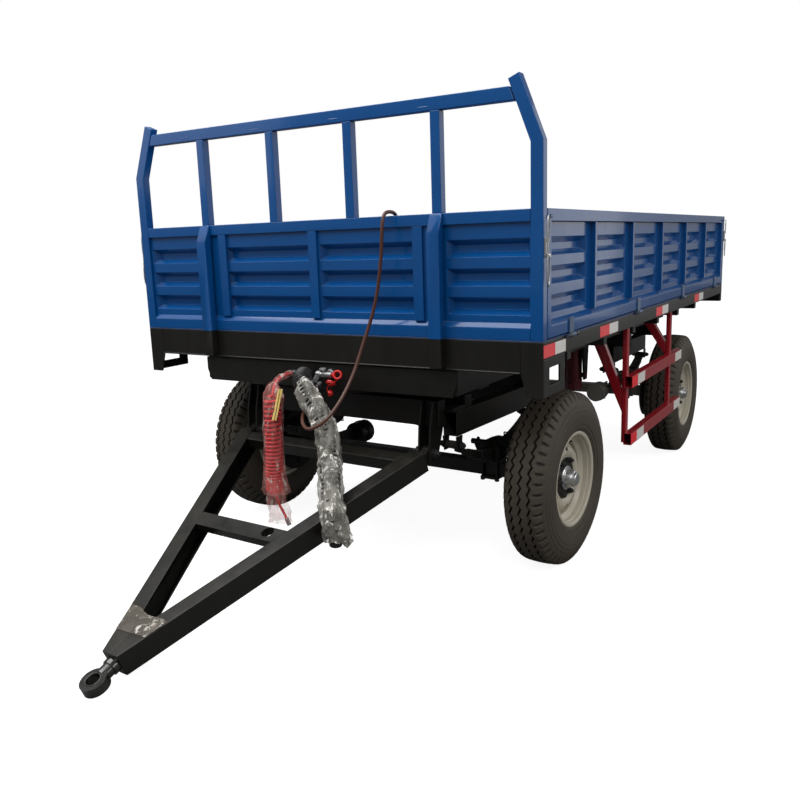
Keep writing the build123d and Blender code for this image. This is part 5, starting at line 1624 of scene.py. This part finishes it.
@dataclass
class Chassis:
    """Chassis, spring carriers, turntable and both bogies' running gear."""

    spring_x: float = 0.555
    half_spring: float = 0.385
    eye_z: float = 0.602
    wheel_z: float = 0.400
    chamber_x: float = 0.436
    chamber_bands: tuple = ((0.262, 0.250, 0.0655), (0.249, 0.237, 0.0655), (0.301, 0.296, 0.045),
                            (0.1885, 0.182, 0.034))
    chamber_z: float = 0.420
    bolt_y: float = 0.043
    clamp_low: float = 0.355
    spring_low: float = 0.445
    leaf: float = 0.010
    bolt_x: float = 0.038
    clip_reach: float = 0.190
    clip_half: float = 0.0405
    front_y: float = 0.655
    rear_y: float = 2.847
    bolt_circle: float = 0.465

    def build(self) -> None:
        """Make the black steelwork and dress the running gear."""
        for node, width in (("chassis_frame", 0.003), ("rear_subframe", 0.003), ("turntable_upper", 0.0015),
                            ("bogie_frame", 0.003), ("turntable_lower", 0.0015)):
            softened(node, width, CHASSIS_BLACK)
        for node in ("rear_springs", "front_springs"):
            softened(node, 0.0010, SPRING_STEEL)
        softened("rear_axle", 0.003, CAST)
        softened("front_axle", 0.003, CHASSIS_BLACK)
        self.turntable()
        bogie = self.steer_matrix()
        self.running_gear(End.FRONT, self.front_y, bogie, "bogie")
        self.running_gear(End.REAR, self.rear_y, Matrix.Identity(4), "chassis")

    def steer_matrix(self) -> Matrix:
        """Turn from straight ahead to the bogie's resting angle about the turntable's middle."""
        axis = Vector(JOINTS["front_left_wheel_spin"]["axis"])
        centre = at(0, self.front_y, 0)
        turn = Matrix.Rotation(math.atan2(axis.y, axis.x), 4, "Z")
        return Matrix.Translation(centre) @ turn @ Matrix.Translation(-centre)

    def turntable(self) -> None:
        """Bolts round both turntable rings."""
        upper, lower = [], []
        for index in range(16):
            angle = math.radians(11.25 + 22.5 * index)
            x, y = self.bolt_circle * math.sin(angle), self.front_y + self.bolt_circle * math.cos(angle)
            lower.append(bolt(at(x, y, 0.8152), Vector((0, 0, -1)), 0.010, 0.004))
            if not (abs(y - 0.265) < 0.12 or abs(y - 1.045) < 0.12):
                upper.append(bolt(at(x, y, 0.8608), Vector((0, 0, 1)), 0.010))
        keep(dress(joined("turntable_bolts", upper), DARK_STEEL), "chassis")
        keep(dress(joined("turntable_nuts", lower), DARK_STEEL), "bogie")

    def running_gear(self, end: End, y: float, matrix: Matrix, body: str) -> None:
        """U-bolt nuts, eye bolts, clips and brake parts of one axle.

        Args:
            end: Front or rear axle.
            y: Its place along the bed.
            matrix: Turn of the steered axle.
            body: The body that it rides on.
        """
        steel, cast = [], []
        for side in Side:
            s = side.value
            x = s * self.spring_x
            for across in (-self.bolt_x, self.bolt_x):
                for along in (-self.bolt_y, self.bolt_y):
                    place = at(x + across, y + along, self.clamp_low)
                    steel.append(rod("nut", place, place + Vector((0, 0, -0.009)), 0.0115, 6, 0.001))
            for along in (-self.half_spring, self.half_spring):
                for sign in (-1, 1):
                    head = at(x + sign * 0.0445, y + along, self.eye_z)
                    steel.append(bolt(head, Vector((sign, 0, 0)), 0.014, 0.006))
            for along in (-self.clip_reach, self.clip_reach):
                steel.append(self.clip(at(x, y + along, 0.0), along))
            cast += self.chamber(s, y, 1 if end is End.REAR else -1)
        brake = CAST if end is End.REAR else CHASSIS_BLACK
        for store, name, finish in ((steel, "spring_bolts", DARK_STEEL), (cast, "brake_parts", brake)):
            piece = dress(joined(f"{end.value}_{name}", store), finish)
            keep(settle(piece, matrix), body)

    def clip(self, place: Vector, along: float) -> bpy.types.Object:
        """A clip round the leaves at a distance from the axle.

        Args:
            place: The spring's middle there, at ground height.
            along: Distance from the axle.

        Returns:
            The clip.
        """
        rise = self.eye_z - self.spring_low - 6 * self.leaf
        lift = self.spring_low + rise * (along / self.half_spring) ** 2
        low, high = lift + 1.8 * self.leaf, lift + 6.2 * self.leaf
        half = self.clip_half
        corners = ((-half, high), (-half, low), (half, low), (half, high), (-half, high))
        return tube_mesh("clip", [place + Vector((x, 0, z)) for x, z in corners], 0.0035, 8)

    def chamber(self, s: int, y: float, ahead: int) -> list:
        """Clamp ring, bolts, rod and lever of one brake chamber, and the ring of its brake plate.

        Args:
            s: Sign of X.
            y: The axle's place along the bed.
            ahead: 1 if the chamber is ahead of the axle, -1 if behind it.

        Returns:
            The parts.
        """
        x, z = s * self.chamber_x, self.chamber_z
        parts = []
        for start, end, radius in self.chamber_bands:
            parts.append(rod("band", at(x, y - ahead * start, z), at(x, y - ahead * end, z),
                             radius, 36, 0.002))
        for index in range(6):
            angle = math.radians(60 * index + 20)
            place = at(x + 0.0665 * math.cos(angle), y - ahead * 0.2495, z + 0.0665 * math.sin(angle))
            reach = Vector((0, 0.014, 0))
            parts.append(rod("stud", place - reach, place + reach, 0.0045, 6))
        arm = x + s * 0.022
        push_x = arm + s * 0.007
        parts.append(rod("push", at(push_x, y - ahead * 0.186, z), at(push_x, y - ahead * 0.060, z),
                         0.007, 12))
        lever = [at(arm, y - ahead * 0.076, z + 0.016), at(arm, y - ahead * 0.052, z - 0.012),
                 at(arm, y + ahead * 0.018, z + 0.088), at(arm, y - ahead * 0.012, z + 0.122)]
        parts.append(strap("lever", lever, Vector((s, 0, 0)), 0.014, 0.002))
        parts.append(rod("cam", at(x, y, z + 0.100), at(s * 0.700, y, z + 0.100), 0.0135, 20, 0.001))
        parts.append(rod("ring", at(s * 0.690, y, self.wheel_z), at(s * 0.6995, y, self.wheel_z),
                         0.098, 48, 0.003))
        for index in range(8):
            angle = math.radians(45 * index)
            place = at(s * 0.6995, y + 0.120 * math.sin(angle), self.wheel_z + 0.120 * math.cos(angle))
            parts.append(bolt(place, Vector((-s, 0, 0)), 0.008))
        return parts


@dataclass
class Cylinders:
    """Both tipping cylinders."""

    axis_x: float = 0.400
    port_z: float = 0.535
    bands: tuple = ((0.560, 0.012, 0.0575), (0.700, 0.010, 0.0570), (0.880, 0.024, 0.0590))

    def build(self) -> None:
        """Barrels in dark red and stages in chrome, with their end rings."""
        for side in Side:
            key = side.name.lower()
            softened("barrel_" + key, 0.002, DARK_RED)
            for stage in ("stage_1", "stage_2", "stage_3"):
                softened(f"{stage}_{key}", 0.0012, CHROME)
            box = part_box("barrel_" + key)
            x = side.value * self.axis_x
            y = (box[0].y + box[1].y) / 2
            rings = [rod("ring", Vector((x, y, z)), Vector((x, y, z + high)), radius, 40, 0.002)
                     for z, high, radius in self.bands]
            port = rod("port", Vector((x, y - 0.050, self.port_z)), Vector((x, y - 0.082, self.port_z)),
                       0.0125, 6, 0.001)
            keep(dress(joined("cylinder_rings_" + key, rings + [port]), DARK_RED), "barrel_" + key)


@dataclass
class Drawbar:
    """The A-frame drawbar with its tow eye and the film round its nose."""

    pitch: float = 22.075
    hinge_y: float = 0.140
    hinge_z: float = 0.590
    nose_top: float = 0.0478

    def build(self) -> None:
        """Make the drawbar's pieces."""
        softened("drawbar_frame", 0.0035, BLACK)
        softened("tow_eye", 0.006, EYE_BLACK)
        matrix = self.flat_to_row()
        self.eye_details(matrix)
        self.film(matrix)
        self.pins()

    def flat_to_row(self) -> Matrix:
        """From the drawbar drawn flat, with Y forward of its hinge, to its place in the row frame."""
        turn = Matrix.Rotation(math.radians(self.pitch), 4, "X")
        return Chassis().steer_matrix() @ Matrix.Translation(at(0, self.hinge_y, self.hinge_z)) @ turn

    def eye_details(self, matrix: Matrix) -> None:
        """Thread and worn bush of the tow eye.

        Args:
            matrix: Move from the flat drawbar to its place.
        """
        parts = []
        for index in range(5):
            start = Vector((0, -1.4085 - 0.0045 * index, 0))
            parts.append(rod("thread", start, start - Vector((0, 0.0025, 0)), 0.0268, 32, 0.0008))
        eye = dress(joined("tow_eye_collar", parts), EYE_BLACK)
        keep(settle(eye, matrix), "drawbar")
        bush = [bead_ring(Vector((0, -1.474, z)), 0.0282, 0.0034) for z in (-0.0180, 0.0180)]
        keep(settle(dress(joined("tow_eye_bush", bush), DARK_STEEL), matrix), "drawbar")

    def film(self, matrix: Matrix) -> None:
        """Clear film wrapped round the nose plate, with its folded edge.

        Args:
            matrix: Move from the flat drawbar to its place.
        """
        corners = ((-0.076, -1.288), (0.076, -1.280), (0.106, -1.200), (-0.111, -1.176))
        outline = [Vector((x, y, self.nose_top)) for x, y in corners]
        bpy.ops.object.select_all(action="DESELECT")
        bpy.ops.mesh.primitive_grid_add(x_subdivisions=40, y_subdivisions=24, size=2)
        piece = bpy.context.active_object
        piece.name = "nose_film"
        for vertex in piece.data.vertices:
            u, v = (vertex.co.x + 1) / 2, (vertex.co.y + 1) / 2
            near = outline[0].lerp(outline[1], u)
            far = outline[3].lerp(outline[2], u)
            place = near.lerp(far, v)
            ripple = 0.0011 * math.sin(31 * u + 9 * v) + 0.0009 * math.sin(47 * v - 13 * u)
            vertex.co = place + Vector((0, 0.006 * math.sin(9 * u) * (v > 0.9), 0.0015 + abs(ripple)))
        solid = piece.modifiers.new("thick", "SOLIDIFY")
        solid.thickness = 0.0004
        finish_modifiers(piece)
        keep(settle(dress(smooth(piece, 60), FILM), matrix), "drawbar")

    def pins(self) -> None:
        """Hinge pins of the drawbar, each with a head and a nut."""
        steer = Chassis().steer_matrix()
        parts = []
        for side in Side:
            s = side.value
            for x, sign in ((0.474, -1), (0.538, 1)):
                head = at(s * x, self.hinge_y, self.hinge_z)
                parts.append(bolt(head, Vector((s * sign, 0, 0)), 0.024 if sign < 0 else 0.018, 0.010))
        keep(settle(dress(joined("drawbar_pins", parts), DARK_STEEL), steer), "bogie")


# ------------------------------------------------------------------ the whole scene
def main() -> None:
    """Build the studio and the trailer and write what goes with it."""
    logging.basicConfig(level=logging.INFO, format="%(name)s: %(message)s")
    Studio().build()
    Hoses().build()
    Wheels().build()
    Bed().build()
    Guards().build()
    Chassis().build()
    Cylinders().build()
    Drawbar().build()


if __name__ == "__main__":
    main()
